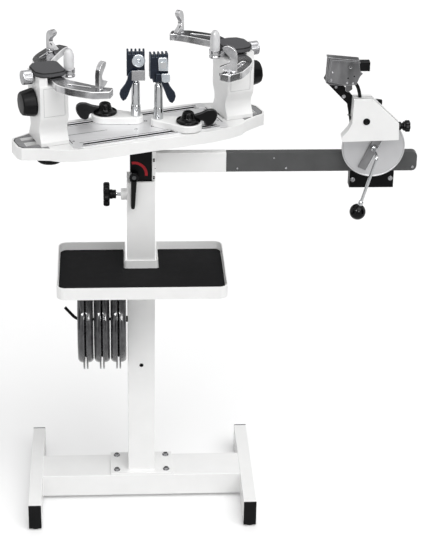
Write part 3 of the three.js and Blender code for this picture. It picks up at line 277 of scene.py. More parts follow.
def turned(profile: Points, start: tuple, direction: tuple, steps: int = 48) -> Shape:
    """Turn a profile about an axis: point = start + along·height + radius·(cos·a + sin·b).

    Args:
        profile: Radius and height pairs, from one pole to the other.
        start: Where height is zero.
        direction: The way of the axis.
        steps: Points round each ring.

    Returns:
        The turned shape.
    """
    along = unit(np.asarray(direction, float))
    helper = np.array((0.0, 0.0, 1.0)) if abs(along[2]) < UPRIGHT_LIMIT else np.array((1.0, 0.0, 0.0))
    first = unit(np.cross(along, helper))
    second = np.cross(along, first)
    angle = np.linspace(0.0, 2 * np.pi, steps, endpoint=False)[:, None]
    ring = np.cos(angle) * first + np.sin(angle) * second
    radius, height = np.asarray(profile, float).T
    points = np.asarray(start, float) + height[:, None, None] * along + radius[:, None, None] * ring
    return points.reshape(-1, 3), grid_faces(len(radius), steps)


def rounded_profile(profile: tuple, radius: float, steps: int = 4) -> Points:
    """Round the corners of a turned profile but not its two poles."""
    return rounded(np.array(profile, float), radius, steps, closed=False)


def knob_disc(
    radius: float, start: tuple, direction: tuple, length: float, edge: float, steps: int = 48
) -> Shape:
    """Turn a short round bar with rounded rims.

    Args:
        radius: Radius of the bar.
        start: Middle of its first end.
        direction: The way it runs.
        length: Its length.
        edge: Size of the rounded rims.
        steps: Points round each ring.

    Returns:
        The round bar.
    """
    return spun(box_outline((0, radius), (0, length)), edge, start, direction, steps)


def spun(
    profile: tuple, edge: float, start: tuple, direction: tuple, steps: int = 48, strips: int = 4
) -> Shape:
    """Turn a profile whose corners are rounded.

    Args:
        profile: Radius and height pairs, from one pole to the other.
        edge: How far from its corners their curve starts.
        start: Where height is zero.
        direction: The way of the axis.
        steps: Points round each ring.
        strips: Pieces in each corner's curve.

    Returns:
        The turned shape.
    """
    return turned(rounded_profile(profile, edge, strips), start, direction, steps)


def loop(profile: Points) -> Points:
    """Join a profile's end to its start."""
    return np.vstack((profile, profile[:1]))


def box_outline(first: tuple, second: tuple) -> Points:
    """List the corners of a box between limits on two axes."""
    (left, right), (low, high) = first, second
    return np.array([(left, low), (right, low), (right, high), (left, high)])


def loft(sections: Points) -> Shape:
    """Join closed sections in order and close both ends.

    Args:
        sections: Array of sections, points and coordinates.

    Returns:
        The closed shape.
    """
    rows, columns = sections.shape[:2]
    last = (rows - 1) * columns
    ends = [list(range(columns)), list(range(last, last + columns))]
    return sections.reshape(-1, 3), ends + grid_faces(rows, columns)


def tube(path: Points, radius: float | Points, sides: int = 16, up: tuple = (0.0, 1.0, 0.0)) -> Shape:
    """Carry a circle along a path: ring = P + r·(cos·a + sin·b), square to the path's slope.

    Args:
        path: Centre points.
        radius: Radius, one value or one per point.
        sides: Points round each ring.
        up: A direction that the path never runs along.

    Returns:
        The closed tube.
    """
    centres = np.asarray(path, float)
    slope = unit(np.gradient(centres, axis=0))
    first = unit(np.cross(slope, np.asarray(up, float)))
    second = np.cross(slope, first)
    angle = np.linspace(0.0, 2 * np.pi, sides, endpoint=False)[None, :, None]
    spread = np.broadcast_to(np.asarray(radius, float), (len(centres),))[:, None, None]
    rings = centres[:, None] + spread * (np.cos(angle) * first[:, None] + np.sin(angle) * second[:, None])
    return loft(rings)


def star_outline(radius: float, waist: float, lobes: int, steps: int = 72) -> Points:
    """Draw a lobed knob: reach = radius·(waist + (1 − waist)·((1 + cos(lobes·angle))/2)^0.7).

    Args:
        radius: Reach of the lobes.
        waist: Share of the radius between lobes.
        lobes: Number of lobes.
        steps: Points round the outline.

    Returns:
        The outline.
    """
    angle = np.linspace(0.0, 2 * np.pi, steps, endpoint=False)
    lobe = ((1 + np.cos(lobes * angle)) / 2) ** LOBE_POWER
    reach = radius * (waist + (1 - waist) * lobe)
    return np.column_stack((reach * np.cos(angle), reach * np.sin(angle)))


def lobed_body(outline: Points, start: float, end: float, edge: float, place: tuple, steps: int = 5) -> Shape:
    """Carry a lobed outline along X with rounded rims.

    At a rim the inset is edge·(1 − cos a) where the depth is edge·(1 − sin a).

    Args:
        outline: The outline in Y and Z about its middle.
        start: First end along X.
        end: Last end along X.
        edge: Size of the rounded rims.
        place: Y and Z of its middle.
        steps: Pieces in each rim.

    Returns:
        The closed body.
    """
    reach = np.linalg.norm(outline, axis=1, keepdims=True)
    angle = np.linspace(np.pi / 2, 0.0, steps + 1)
    inset = edge * (1 - np.cos(angle))
    depth = edge * (1 - np.sin(angle))
    way = np.sign(end - start)
    insets = np.concatenate((inset, inset[::-1]))
    along = np.concatenate((start + way * depth, end - way * depth[::-1]))
    rings = outline[None] * (1 - insets[:, None, None] / reach[None]) + place
    depths = np.broadcast_to(along[:, None, None], (len(along), len(outline), 1))
    return loft(np.concatenate((depths, rings), axis=2))


def shares(table: tuple, corner: tuple, width: float, height: float) -> Points:
    """Turn shares of a width and height into points from a corner."""
    return np.asarray(table, float) * (width, height) + corner


# Finishes


class Wiring:
    """Adds and joins nodes in one node tree."""

    def __init__(self, tree: bpy.types.NodeTree) -> None:
        """Keep the tree.

        Args:
            tree: The node tree to fill.
        """
        self.tree = tree

    def node(self, kind: str, **settings: object) -> bpy.types.Node:
        """Add a node and set its properties.

        Args:
            kind: The node's type name.
            **settings: Properties to set on it.

        Returns:
            The new node.
        """
        made = self.tree.nodes.new(kind)
        for name, value in settings.items():
            setattr(made, name, value)
        return made

    def join(self, source: bpy.types.NodeSocket, target: bpy.types.NodeSocket) -> None:
        """Link one socket to another."""
        self.tree.links.new(source, target)

    def noise(self, vector: bpy.types.NodeSocket, scale: float, detail: float = 2.0) -> bpy.types.NodeSocket:
        """Add a noise texture.

        Args:
            vector: The coordinates it reads.
            scale: Its scale.
            detail: Its detail.

        Returns:
            Its value socket.
        """
        made = self.node("ShaderNodeTexNoise")
        made.inputs["Scale"].default_value = scale
        made.inputs["Detail"].default_value = detail
        self.join(vector, made.inputs["Vector"])
        return made.outputs["Fac"]

    def ranged(self, value: bpy.types.NodeSocket, source: tuple, target: tuple) -> bpy.types.NodeSocket:
        """Carry a value from one range to another and hold it there.

        Args:
            value: The value to carry.
            source: Its range.
            target: The new range.

        Returns:
            The carried value.
        """
        made = self.node("ShaderNodeMapRange")
        limits = ("From Min", "From Max", "To Min", "To Max")
        for name, limit in zip(limits, source + target):
            made.inputs[name].default_value = limit
        self.join(value, made.inputs["Value"])
        return made.outputs["Result"]


def new_group(name: str, inputs: dict, outputs: dict) -> tuple[bpy.types.NodeTree, Wiring, object, object]:
    """Start a shader node group with named sockets.

    Args:
        name: The group's name.
        inputs: Socket types by input name.
        outputs: Socket types by output name.

    Returns:
        The group, its wiring, its input node and its output node.
    """
    tree = bpy.data.node_groups.new(name, "ShaderNodeTree")
    for socket, kind in inputs.items():
        tree.interface.new_socket(socket, in_out="INPUT", socket_type=kind)
    for socket, kind in outputs.items():
        tree.interface.new_socket(socket, in_out="OUTPUT", socket_type=kind)
    wiring = Wiring(tree)
    return tree, wiring, wiring.node("NodeGroupInput"), wiring.node("NodeGroupOutput")


def surface_group() -> bpy.types.NodeTree:
    """Build the group that gives a surface broad blotches, a fine grain and its height.

    Returns:
        The group.
    """
    tree, wiring, start, end = new_group(
        "surface_variation",
        {"Vector": "NodeSocketVector", "Blotch Scale": "NodeSocketFloat", "Grain Scale": "NodeSocketFloat"},
        {"Blotch": "NodeSocketFloat", "Grain": "NodeSocketFloat"},
    )
    for output, scale, detail in (("Blotch", "Blotch Scale", 3.0), ("Grain", "Grain Scale", 4.0)):
        value = wiring.noise(start.outputs["Vector"], 1.0, detail)
        wiring.join(start.outputs[scale], value.node.inputs["Scale"])
        wiring.join(wiring.ranged(value, (0.3, 0.7), (0.0, 1.0)), end.inputs[output])
    return tree


def dust_group() -> bpy.types.NodeTree:
    """Build the group that lays thin dust on faces that look up.

    Returns:
        The group.
    """
    tree, wiring, start, end = new_group(
        "settled_dust",
        {"Vector": "NodeSocketVector", "Amount": "NodeSocketFloat"},
        {"Mask": "NodeSocketFloat"},
    )
    facing = wiring.node("ShaderNodeSeparateXYZ")
    wiring.join(wiring.node("ShaderNodeNewGeometry").outputs["Normal"], facing.inputs[0])
    level = wiring.ranged(facing.outputs["Z"], (0.6, 1.0), (0.0, 1.0))
    patch = wiring.ranged(wiring.noise(start.outputs["Vector"], 60.0, 5.0), (0.35, 0.75), (0.2, 1.0))
    laid = wiring.node("ShaderNodeMath", operation="MULTIPLY")
    wiring.join(level, laid.inputs[0])
    wiring.join(patch, laid.inputs[1])
    scaled = wiring.node("ShaderNodeMath", operation="MULTIPLY")
    wiring.join(laid.outputs[0], scaled.inputs[0])
    wiring.join(start.outputs["Amount"], scaled.inputs[1])
    wiring.join(scaled.outputs[0], end.inputs["Mask"])
    return tree


@dataclass(frozen=True)
class Finish:
    """A surface finish and the record slot that it belongs to.

    Attributes:
        roughness: Lowest and highest roughness.
        edge: Colour of the rounded edges, where they differ: partly paint worn thin at the edges, partly a
            painted highlight where light catches them.
    """

    name: str
    slot: str
    colour: Colour
    shade: Colour
    roughness: tuple[float, float]
    pattern: Pattern = Pattern.SMOOTH
    metallic: float = 0.0
    coat: float = 0.0
    blotch: float = 18.0
    grain: float = 900.0
    stretch: Colour = (1.0, 1.0, 1.0)
    bump: float = 0.00002
    edge: Colour | None = None
    specular: float = 0.5
    dust: float = 0.0
    clear: float = 0.0
    glow: float = 0.0
    index: float = 1.5

    def tinted(self, wiring: Wiring, base: object, mask: object, colour: Colour) -> object:
        """Mix a colour over another by a mask.

        Args:
            wiring: The material's wiring.
            base: The colour socket below, or a colour.
            mask: The mask socket.
            colour: The colour laid over.

        Returns:
            The mixed colour socket.
        """
        mix = wiring.node("ShaderNodeMix", data_type="RGBA")
        if isinstance(base, tuple):
            mix.inputs["A"].default_value = (*base, 1.0)
        else:
            wiring.join(base, mix.inputs["A"])
        mix.inputs["B"].default_value = (*colour, 1.0)
        wiring.join(mask, mix.inputs["Factor"])
        return mix.outputs["Result"]

    def height(self, wiring: Wiring, vector: object, grain: object) -> object:
        """Choose the height of the small-scale pattern.

        Args:
            wiring: The material's wiring.
            vector: The stretched coordinates.
            grain: The grain socket.

        Returns:
            The height socket.
        """
        if self.pattern is not Pattern.STIPPLE:
            return grain
        cells = wiring.node("ShaderNodeTexVoronoi", feature="F1")
        cells.inputs["Scale"].default_value = self.grain
        wiring.join(vector, cells.inputs["Vector"])
        return wiring.ranged(cells.outputs["Distance"], (0.1, 0.6), (1.0, 0.0))

    def worn_highlit_edges(self) -> "Finish":
        """Make the finish of the rounded edges, whose lighter colour is partly paint worn thin and partly a
        painted highlight.

        Returns:
            The same finish in the edge colour.
        """
        return replace(self, name=f"{self.name}_edges", colour=self.edge, shade=self.edge, edge=None)

    def material(self) -> bpy.types.Material:
        """Build the finish's material once.

        Returns:
            The material.
        """
        if self.name in bpy.data.materials:
            return bpy.data.materials[self.name]
        material = bpy.data.materials.new(self.name)
        material.use_nodes = True
        wiring = Wiring(material.node_tree)
        shader = material.node_tree.nodes["Principled BSDF"]
        vector = wiring.node("ShaderNodeTexCoord").outputs["Object"]
        mapping = wiring.node("ShaderNodeMapping")
        mapping.inputs["Scale"].default_value = self.stretch
        wiring.join(vector, mapping.inputs["Vector"])
        surface = wiring.node("ShaderNodeGroup", node_tree=GROUPS["surface"])
        surface.inputs["Blotch Scale"].default_value = self.blotch
        surface.inputs["Grain Scale"].default_value = self.grain
        wiring.join(mapping.outputs["Vector"], surface.inputs["Vector"])
        colour = self.tinted(wiring, self.colour, surface.outputs["Blotch"], self.shade)
        if self.dust > 0.0:
            mask = wiring.node("ShaderNodeGroup", node_tree=GROUPS["dust"])
            mask.inputs["Amount"].default_value = self.dust
            wiring.join(vector, mask.inputs["Vector"])
            colour = self.tinted(wiring, colour, mask.outputs["Mask"], DUST_COLOUR)
        wiring.join(colour, shader.inputs["Base Color"])
        streak = surface.outputs["Grain" if self.pattern in (Pattern.BRUSHED, Pattern.CAST) else "Blotch"]
        wiring.join(wiring.ranged(streak, (0.0, 1.0), self.roughness), shader.inputs["Roughness"])
        bump = wiring.node("ShaderNodeBump")
        bump.inputs["Strength"].default_value = BUMP_STRENGTH
        bump.inputs["Distance"].default_value = self.bump
        height = self.height(wiring, mapping.outputs["Vector"], surface.outputs["Grain"])
        wiring.join(height, bump.inputs["Height"])
        wiring.join(bump.outputs["Normal"], shader.inputs["Normal"])
        shader.inputs["Metallic"].default_value = self.metallic
        shader.inputs["Specular IOR Level"].default_value = self.specular
        shader.inputs["Coat Weight"].default_value = self.coat
        shader.inputs["Coat Roughness"].default_value = COAT_ROUGHNESS
        shader.inputs["Transmission Weight"].default_value = self.clear
        shader.inputs["IOR"].default_value = self.index
        if self.glow > 0.0:
            seen = wiring.node("ShaderNodeLightPath").outputs["Is Camera Ray"]
            lit = self.tinted(wiring, (0.0, 0.0, 0.0), seen, (self.glow,) * 3)
            wiring.join(lit, shader.inputs["Emission Color"])
            shader.inputs["Emission Strength"].default_value = 1.0
        return material


GROUPS = {"surface": surface_group(), "dust": dust_group()}

# A finish's lighter edge colour is partly paint and coating worn thin and partly a painted highlight where
# light catches the rounded edges.
WHITE_PAINT = Finish(
    "white_powder_coat", "white_paint", (0.85, 0.85, 0.845), (0.82, 0.82, 0.815), (0.3, 0.42),
    Pattern.POWDER, coat=0.15, grain=700.0, bump=0.00002, edge=(0.9, 0.9, 0.895),
)
BLACK_PAINT = Finish(
    "black_powder_coat", "black_paint", (0.0022, 0.0022, 0.0025), (0.0045, 0.0045, 0.005), (0.34, 0.5),
    Pattern.POWDER, grain=900.0, bump=0.00004, edge=(0.02, 0.02, 0.021), specular=0.1,
)
BLACK_PLASTIC = Finish(
    "moulded_black_plastic", "black_plastic", (0.003, 0.003, 0.0033), (0.006, 0.006, 0.0065), (0.3, 0.44),
    Pattern.STIPPLE, grain=1400.0, bump=0.00003, edge=(0.02, 0.02, 0.021), specular=0.13,
)
# Its lighter edge colour is a painted rim highlight.
GLOSS_BLACK = Finish(
    "polished_black_plastic", "gloss_black", (0.001, 0.001, 0.0012), (0.0025, 0.0025, 0.0028), (0.07, 0.13),
    grain=300.0, bump=0.00001, specular=0.16, edge=(0.045, 0.045, 0.047),
)
BAR_GREY = Finish(
    "dark_bar_paint", "grey_bar", (0.066, 0.067, 0.068), (0.08, 0.081, 0.082), (0.38, 0.5), Pattern.POWDER,
    grain=1100.0, bump=0.00003, edge=(0.2, 0.2, 0.205), specular=0.3,
)
MAT_RUBBER = Finish(
    "tray_rubber", "rubber", (0.004, 0.004, 0.0045), (0.008, 0.008, 0.0085), (0.6, 0.8), Pattern.STIPPLE,
    grain=420.0, bump=0.0003, edge=(0.03, 0.03, 0.03), specular=0.1,
)
PAD_RUBBER = Finish(
    "pad_rubber", "pad_rubber", (0.005, 0.005, 0.0055), (0.01, 0.01, 0.0105), (0.5, 0.66), Pattern.STIPPLE,
    grain=900.0, bump=0.0001, edge=(0.012, 0.012, 0.0125), specular=0.13,
)
BRUSHED_PLATE = Finish(
    "brushed_track_plate", "brushed", (0.82, 0.82, 0.83), (0.74, 0.74, 0.75), (0.3, 0.46), Pattern.BRUSHED,
    metallic=0.6, grain=160.0, stretch=(0.4, 9.0, 9.0), bump=0.00003, blotch=30.0, edge=(0.9, 0.9, 0.9),
)
TURNED_STEEL = Finish(
    "turned_steel", "brushed", (0.42, 0.42, 0.43), (0.3, 0.3, 0.31), (0.18, 0.32), Pattern.BRUSHED,
    metallic=1.0, grain=420.0, bump=0.00002,
)
CAST_METAL = Finish(
    "polished_casting", "cast_metal", (0.7, 0.7, 0.71), (0.3, 0.3, 0.31), (0.12, 0.26), Pattern.SMOOTH,
    metallic=1.0, blotch=24.0, grain=90.0, bump=0.00003, edge=(0.9, 0.9, 0.905),
)
CHROME = Finish(
    "chrome_plate", "chrome", (0.6, 0.61, 0.62), (0.46, 0.47, 0.48), (0.04, 0.09), metallic=1.0,
    bump=0.000005,
)
STRING_GREY = Finish(
    "wound_string", "string", (0.03, 0.03, 0.032), (0.07, 0.07, 0.074), (0.2, 0.35), coat=0.3, blotch=160.0,
    grain=1500.0, bump=0.00003,
)
CLEAR_SHELL = Finish(
    "clear_case", "clear_plastic", (0.83, 0.85, 0.87), (0.76, 0.78, 0.8), (0.04, 0.1), clear=0.9, index=1.45,
    bump=0.00001,
)
SMOKED_RIM = Finish(
    "smoked_case_rim", "clear_plastic", (0.03, 0.03, 0.033), (0.075, 0.075, 0.08), (0.08, 0.16), coat=0.5,
    blotch=60.0, bump=0.00001,
)
WHEEL_PAINT = Finish(
    "wheel_silver_paint", "wheel_grey", (0.6, 0.6, 0.61), (0.5, 0.5, 0.51), (0.32, 0.45), Pattern.BRUSHED,
    metallic=0.5, grain=260.0, bump=0.00003, blotch=9.0,
)
GRIPPER_GREY = Finish(
    "gripper_anodised", "gripper_grey", (0.045, 0.045, 0.048), (0.07, 0.07, 0.073), (0.3, 0.46),
    Pattern.CAST, metallic=0.4, blotch=60.0, grain=600.0, bump=0.00005, edge=(0.3, 0.3, 0.31), specular=0.3,
)
NAVY_COAT = Finish(
    "navy_coating", "navy", (0.005, 0.009, 0.018), (0.009, 0.015, 0.028), (0.22, 0.36), Pattern.CAST,
    coat=0.1, blotch=70.0, grain=700.0, bump=0.00003, edge=(0.06, 0.08, 0.11), specular=0.2,
)
DIAL_SILVER = Finish(
    "dial_silver", "navy", (0.62, 0.66, 0.7), (0.42, 0.46, 0.5), (0.15, 0.28), Pattern.BRUSHED, metallic=0.9,
    grain=500.0, bump=0.00002, edge=(0.85, 0.88, 0.9),
)
NOSE_PLASTIC = Finish(
    "pale_nose_plastic", "cast_metal", (0.9, 0.9, 0.91), (0.82, 0.82, 0.83), (0.1, 0.18), coat=0.7,
    grain=200.0, bump=0.00001, clear=0.5, index=1.35,
)
# Painted shade: grey strips round the towers' panels where their edges fall in shade.
PANEL_SEAM_SHADE = Finish(
    "painted_panel_seam_shade", "white_paint", (0.5, 0.5, 0.5), (0.44, 0.44, 0.44), (0.4, 0.5), grain=700.0, bump=0.00001,
)
STRAP_GREY = Finish(
    "strap_shaded_steel", "wheel_grey", (0.27, 0.27, 0.275), (0.2, 0.2, 0.205), (0.28, 0.4), Pattern.BRUSHED,
    metallic=0.5, grain=260.0, bump=0.00002,
)
END_GREY = Finish(
    "end_plate_steel", "brushed", (0.3, 0.3, 0.305), (0.22, 0.22, 0.225), (0.4, 0.55), Pattern.BRUSHED,
    metallic=0.2, grain=160.0, stretch=(0.4, 9.0, 9.0), bump=0.00003, blotch=30.0,
)
ARC_RED = Finish(
    "red_scale_band", "black_paint", (0.4, 0.012, 0.02), (0.3, 0.01, 0.016), (0.35, 0.5), grain=900.0,
    specular=0.2,
)
GRIPPER_PLATE = Finish(
    "gripper_front_metal", "gripper_grey", (0.05, 0.05, 0.052), (0.2, 0.2, 0.205), (0.28, 0.42),
    Pattern.BRUSHED, metallic=0.5, grain=300.0, stretch=(1.0, 1.0, 0.35), blotch=26.0, bump=0.00003,
    edge=(0.45, 0.45, 0.46), specular=0.4,
)
FLOOR_WHITE = Finish(
    "pale_floor_paint", "white_paint", (0.8, 0.8, 0.8), (0.78, 0.78, 0.78), (0.6, 0.7), blotch=2.0,
    grain=60.0, bump=0.00001, glow=0.17, specular=0.1,
)
CARD_BLACK = Finish(
    "dark_card", "black_paint", (0.02, 0.02, 0.02), (0.03, 0.03, 0.03), (0.8, 0.9), specular=0.0,
)
# Painted shade: dark pieces laid in holes, slots, seams and grooves, and on parts that sit in shade.
SHADOW_GAP = Finish(
    "painted_shade_recess", "black_paint", (0.008, 0.008, 0.0085), (0.014, 0.014, 0.0145), (0.6, 0.8), grain=500.0,
    specular=0.1,
)


# Making pieces


def weld(mesh: bpy.types.Mesh, flat: bool = False) -> None:
    """Merge a mesh's repeated points and turn its faces outwards.

    Args:
        mesh: The mesh.
        flat: Whether faces in one plane are joined as well.
    """
    work = bmesh.new()
    work.from_mesh(mesh)
    bmesh.ops.remove_doubles(work, verts=work.verts, dist=WELD * 10 if flat else WELD)
    bmesh.ops.dissolve_degenerate(work, edges=work.edges, dist=WELD)
    if flat:
        bmesh.ops.dissolve_limit(
            work, angle_limit=np.radians(FLAT_ANGLE), verts=work.verts, edges=work.edges, delimit={"NORMAL"}
        )
    bmesh.ops.recalc_face_normals(work, faces=work.faces)
    work.to_mesh(mesh)
    work.free()
    mesh.shade_smooth()
    mesh.set_sharp_from_angle(angle=np.radians(SHARP_ANGLE))


def round_edges(piece: bpy.types.Object, width: float, segments: int = 2) -> None:
    """Give a piece small rounded edges that catch the light.

    Args:
        piece: The piece.
        width: Width of the rounding in millimetres.
        segments: Strips in the rounding.
    """
    bevel = piece.modifiers.new("rounded_edges", "BEVEL")
    bevel.width = width * METRE
    bevel.segments = segments
    bevel.limit_method = "ANGLE"
    bevel.angle_limit = np.radians(ROUNDED_ANGLE)
    bevel.harden_normals = True
    bevel.use_clamp_overlap = True


def settle(piece: bpy.types.Object, body: str, finish: Finish, stands_for: tuple = ()) -> bpy.types.Object:
    """Dress a piece, put it on its body and hide the CAD nodes that it stands for.

    Args:
        piece: The piece.
        body: The body it rides on.
        finish: Its finish.
        stands_for: CAD nodes that it replaces.

    Returns:
        The piece.
    """
    piece.data.materials.clear()
    piece.data.materials.append(finish.material())
    # The rounded edges get the lighter edge finish: partly worn paint, partly a painted highlight.
    if finish.edge is not None:
        piece.data.materials.append(finish.worn_highlit_edges().material())
        for modifier in piece.modifiers:
            modifier.material = 1
    if stands_for:
        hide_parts(*stands_for)
    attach(piece, body)
    logger.info("%s: %d faces on %s", piece.name, len(piece.data.polygons), body)
    return piece


def add_piece(
    name: str,
    shapes: list,
    body: str,
    finish: Finish,
    place: Place = MACHINE,
    edge: float = 0.0,
    stands_for: tuple = (),
    segments: int = 2,
) -> bpy.types.Object:
    """Make one piece from shapes drawn in a place.

    Args:
        name: The piece's name.
        shapes: Its shapes.
        body: The body it rides on.
        finish: Its finish.
        place: Where it is drawn.
        edge: Width of its rounded edges in millimetres.
        stands_for: CAD nodes that it replaces.
        segments: Strips in the rounding.

    Returns:
        The piece.
    """
    points, faces, count = [], [], 0
    for shape_points, shape_faces in shapes:
        points.append(place.world(shape_points) * METRE)
        faces += [[corner + count for corner in face] for face in shape_faces]
        count += len(shape_points)
    mesh = bpy.data.meshes.new(name)
    mesh.from_pydata(np.vstack(points).tolist(), [], faces)
    weld(mesh)
    piece = bpy.data.objects.new(name, mesh)
    bpy.context.scene.collection.objects.link(piece)
    if edge > 0.0:
        round_edges(piece, edge, segments)
    return settle(piece, body, finish, stands_for)


def cut_piece(piece: bpy.types.Object, shapes: list, place: Place = MACHINE) -> None:
    """Cut closed shapes out of a piece, ahead of its rounded edges.

    Args:
        piece: The piece.
        shapes: The shapes to take away.
        place: Where they are drawn.
    """
    for index, (points, faces) in enumerate(shapes):
        mesh = bpy.data.meshes.new(f"{piece.name}_cutter_{index}")
        mesh.from_pydata((place.world(points) * METRE).tolist(), [], faces)
        weld(mesh)
        cutter = bpy.data.objects.new(mesh.name, mesh)
        bpy.context.scene.collection.objects.link(cutter)
        cut = piece.modifiers.new(f"cut_{index}", "BOOLEAN")
        cut.operation = "DIFFERENCE"
        cut.solver = "EXACT"
        cut.object = cutter
        live = [modifier for modifier in piece.modifiers if modifier.type == "BEVEL"]
        for modifier in live:
            modifier.show_viewport = False
        evaluated = piece.evaluated_get(bpy.context.evaluated_depsgraph_get())
        cut_mesh = bpy.data.meshes.new_from_object(evaluated)
        piece.modifiers.remove(cut)
        old = piece.data
        piece.data = cut_mesh
        bpy.data.meshes.remove(old)
        bpy.data.objects.remove(cutter)
        for modifier in live:
            modifier.show_viewport = True
    weld(piece.data)


def soften_node(node: str, finish: Finish, edge: float, segments: int = 2) -> bpy.types.Object:
    """Make a finer copy of a CAD node, with welded faces and rounded edges, that stands for it.

    Args:
        node: The CAD node.
        finish: Its finish.
        edge: Width of its rounded edges in millimetres.
        segments: Strips in the rounding.

    Returns:
        The finer piece.
    """
    mesh = frame["nodes"][node].data.copy()
    mesh.name = f"{node}_finished"
    weld(mesh, flat=True)
    piece = bpy.data.objects.new(f"{node}_finished", mesh)
    bpy.context.scene.collection.objects.link(piece)
    round_edges(piece, edge, segments)
    return settle(piece, NODE_BODY[node], finish, (node,))


def soften_all(table: tuple) -> None:
    """Make the finer copies of several CAD nodes from their names, finishes, edge widths and strips."""
    for node, finish, edge, segments in table:
        soften_node(node, finish, edge, segments)


def screw(x: float, y: float, z: float, direction: tuple, radius: float, height: float) -> list:
    """Draw a round screw head with a hexagon socket, standing on a face.

    Args:
        x: Place along X.
        y: Place along Y.
        z: Place along Z.
        direction: The way that the head faces.
        radius: Radius of the head.
        height: Height of the head.

    Returns:
        The head's shapes.
    """
    socket = radius * HEAD_SOCKET[0]
    floor = height * HEAD_SOCKET[1]
    profile = (
        (0, -HEAD_SUNK),
        (radius, -HEAD_SUNK),
        (radius, height),
        (socket, height),
        (socket, floor),
        (0, floor),
    )
    return [spun(profile, radius * HEAD_ROUNDING, (x, y, z), direction, steps=24, strips=3)]


def hex_nut(x: float, y: float, z: float, radius: float, height: float) -> Shape:
    """Draw an upright hexagon nut.

    Args:
        x: Place along X.
        y: Place along Y.
        z: Its underside.
        radius: Corner radius.
        height: Height.

    Returns:
        The nut.
    """
    angle = np.linspace(0.0, 2 * np.pi, 6, endpoint=False)
    return prism(np.column_stack((x + radius * np.cos(angle), y + radius * np.sin(angle))), z, z + height)


# Stand, mast and string cases


@dataclass
class Stand:
    """The fixed stand: base frame, end caps, column, tray, mat and case rod.

    Attributes:
        softened: Nodes, finishes, edge widths and strips.
    """

    softened: tuple = (
        ("base_frame", WHITE_PAINT, 3.0, 3),
        ("foot_cap_front_left", BLACK_PLASTIC, 1.5, 2),
        ("foot_cap_front_right", BLACK_PLASTIC, 1.5, 2),
        ("foot_cap_rear_left", BLACK_PLASTIC, 1.5, 2),
        ("foot_cap_rear_right", BLACK_PLASTIC, 1.5, 2),
        ("column", WHITE_PAINT, 2.6, 3),
        ("tray", WHITE_PAINT, 1.1, 2),
        ("tray_mat", MAT_RUBBER, 0.9, 2),
    )
    column_half: float = 35.0
    bolt_places: tuple = ((-66.0, -36.0), (66.0, -36.0), (-66.0, 36.0), (66.0, 36.0))
    plate_top: float = 79.5
    washer: tuple = ((0, 0), (8.5, 0), (8.5, 1.6), (0, 1.6))
    nut: tuple = (1.4, 6.6, 4.6)
    hole: float = 401.0
    hole_ring: tuple = ((0, 0), (5.2, 0), (5.2, 0.7), (3.4, 0.7), (3.2, -2.0), (0, -2.0))
    rod: tuple = ((-35.0, 0.0, 520.0), (-167.0, 0.0, 520.0), (-196.0, 0.0, 555.0))
    rod_radius: float = 3.9
    rod_bend: float = 14.0
    rod_nut: tuple = ((0, 0), (8, 0), (8, 5), (0, 5))

    def build(self) -> None:
        """Make the stand's pieces."""
        soften_all(self.softened)
        lift, radius, height = self.nut
        bolts = [spun(self.washer, 0.4, (*place, self.plate_top), UP, steps=32) for place in self.bolt_places]
        bolts += [hex_nut(x, y, self.plate_top + lift, radius, height) for x, y in self.bolt_places]
        add_piece("base_plate_bolts", bolts, "stand", TURNED_STEEL, edge=0.5)
        # Painted shade: a dark ring in the hole in the column's front.
        place = (0.0, -self.column_half, self.hole)
        ring = spun(self.hole_ring, 0.3, place, TOWARDS, steps=24, strips=3)
        add_piece("column_hole", [ring], "stand", SHADOW_GAP)
        path = rounded(np.array(self.rod), self.rod_bend, 6, closed=False)
        nut = spun(self.rod_nut, 1.0, self.rod[0], LEFT, steps=20)
        rod = tube(path, self.rod_radius, 20)
        add_piece("case_rod_bent", [rod, nut], "stand", BLACK_PAINT, stands_for=("case_rod",))


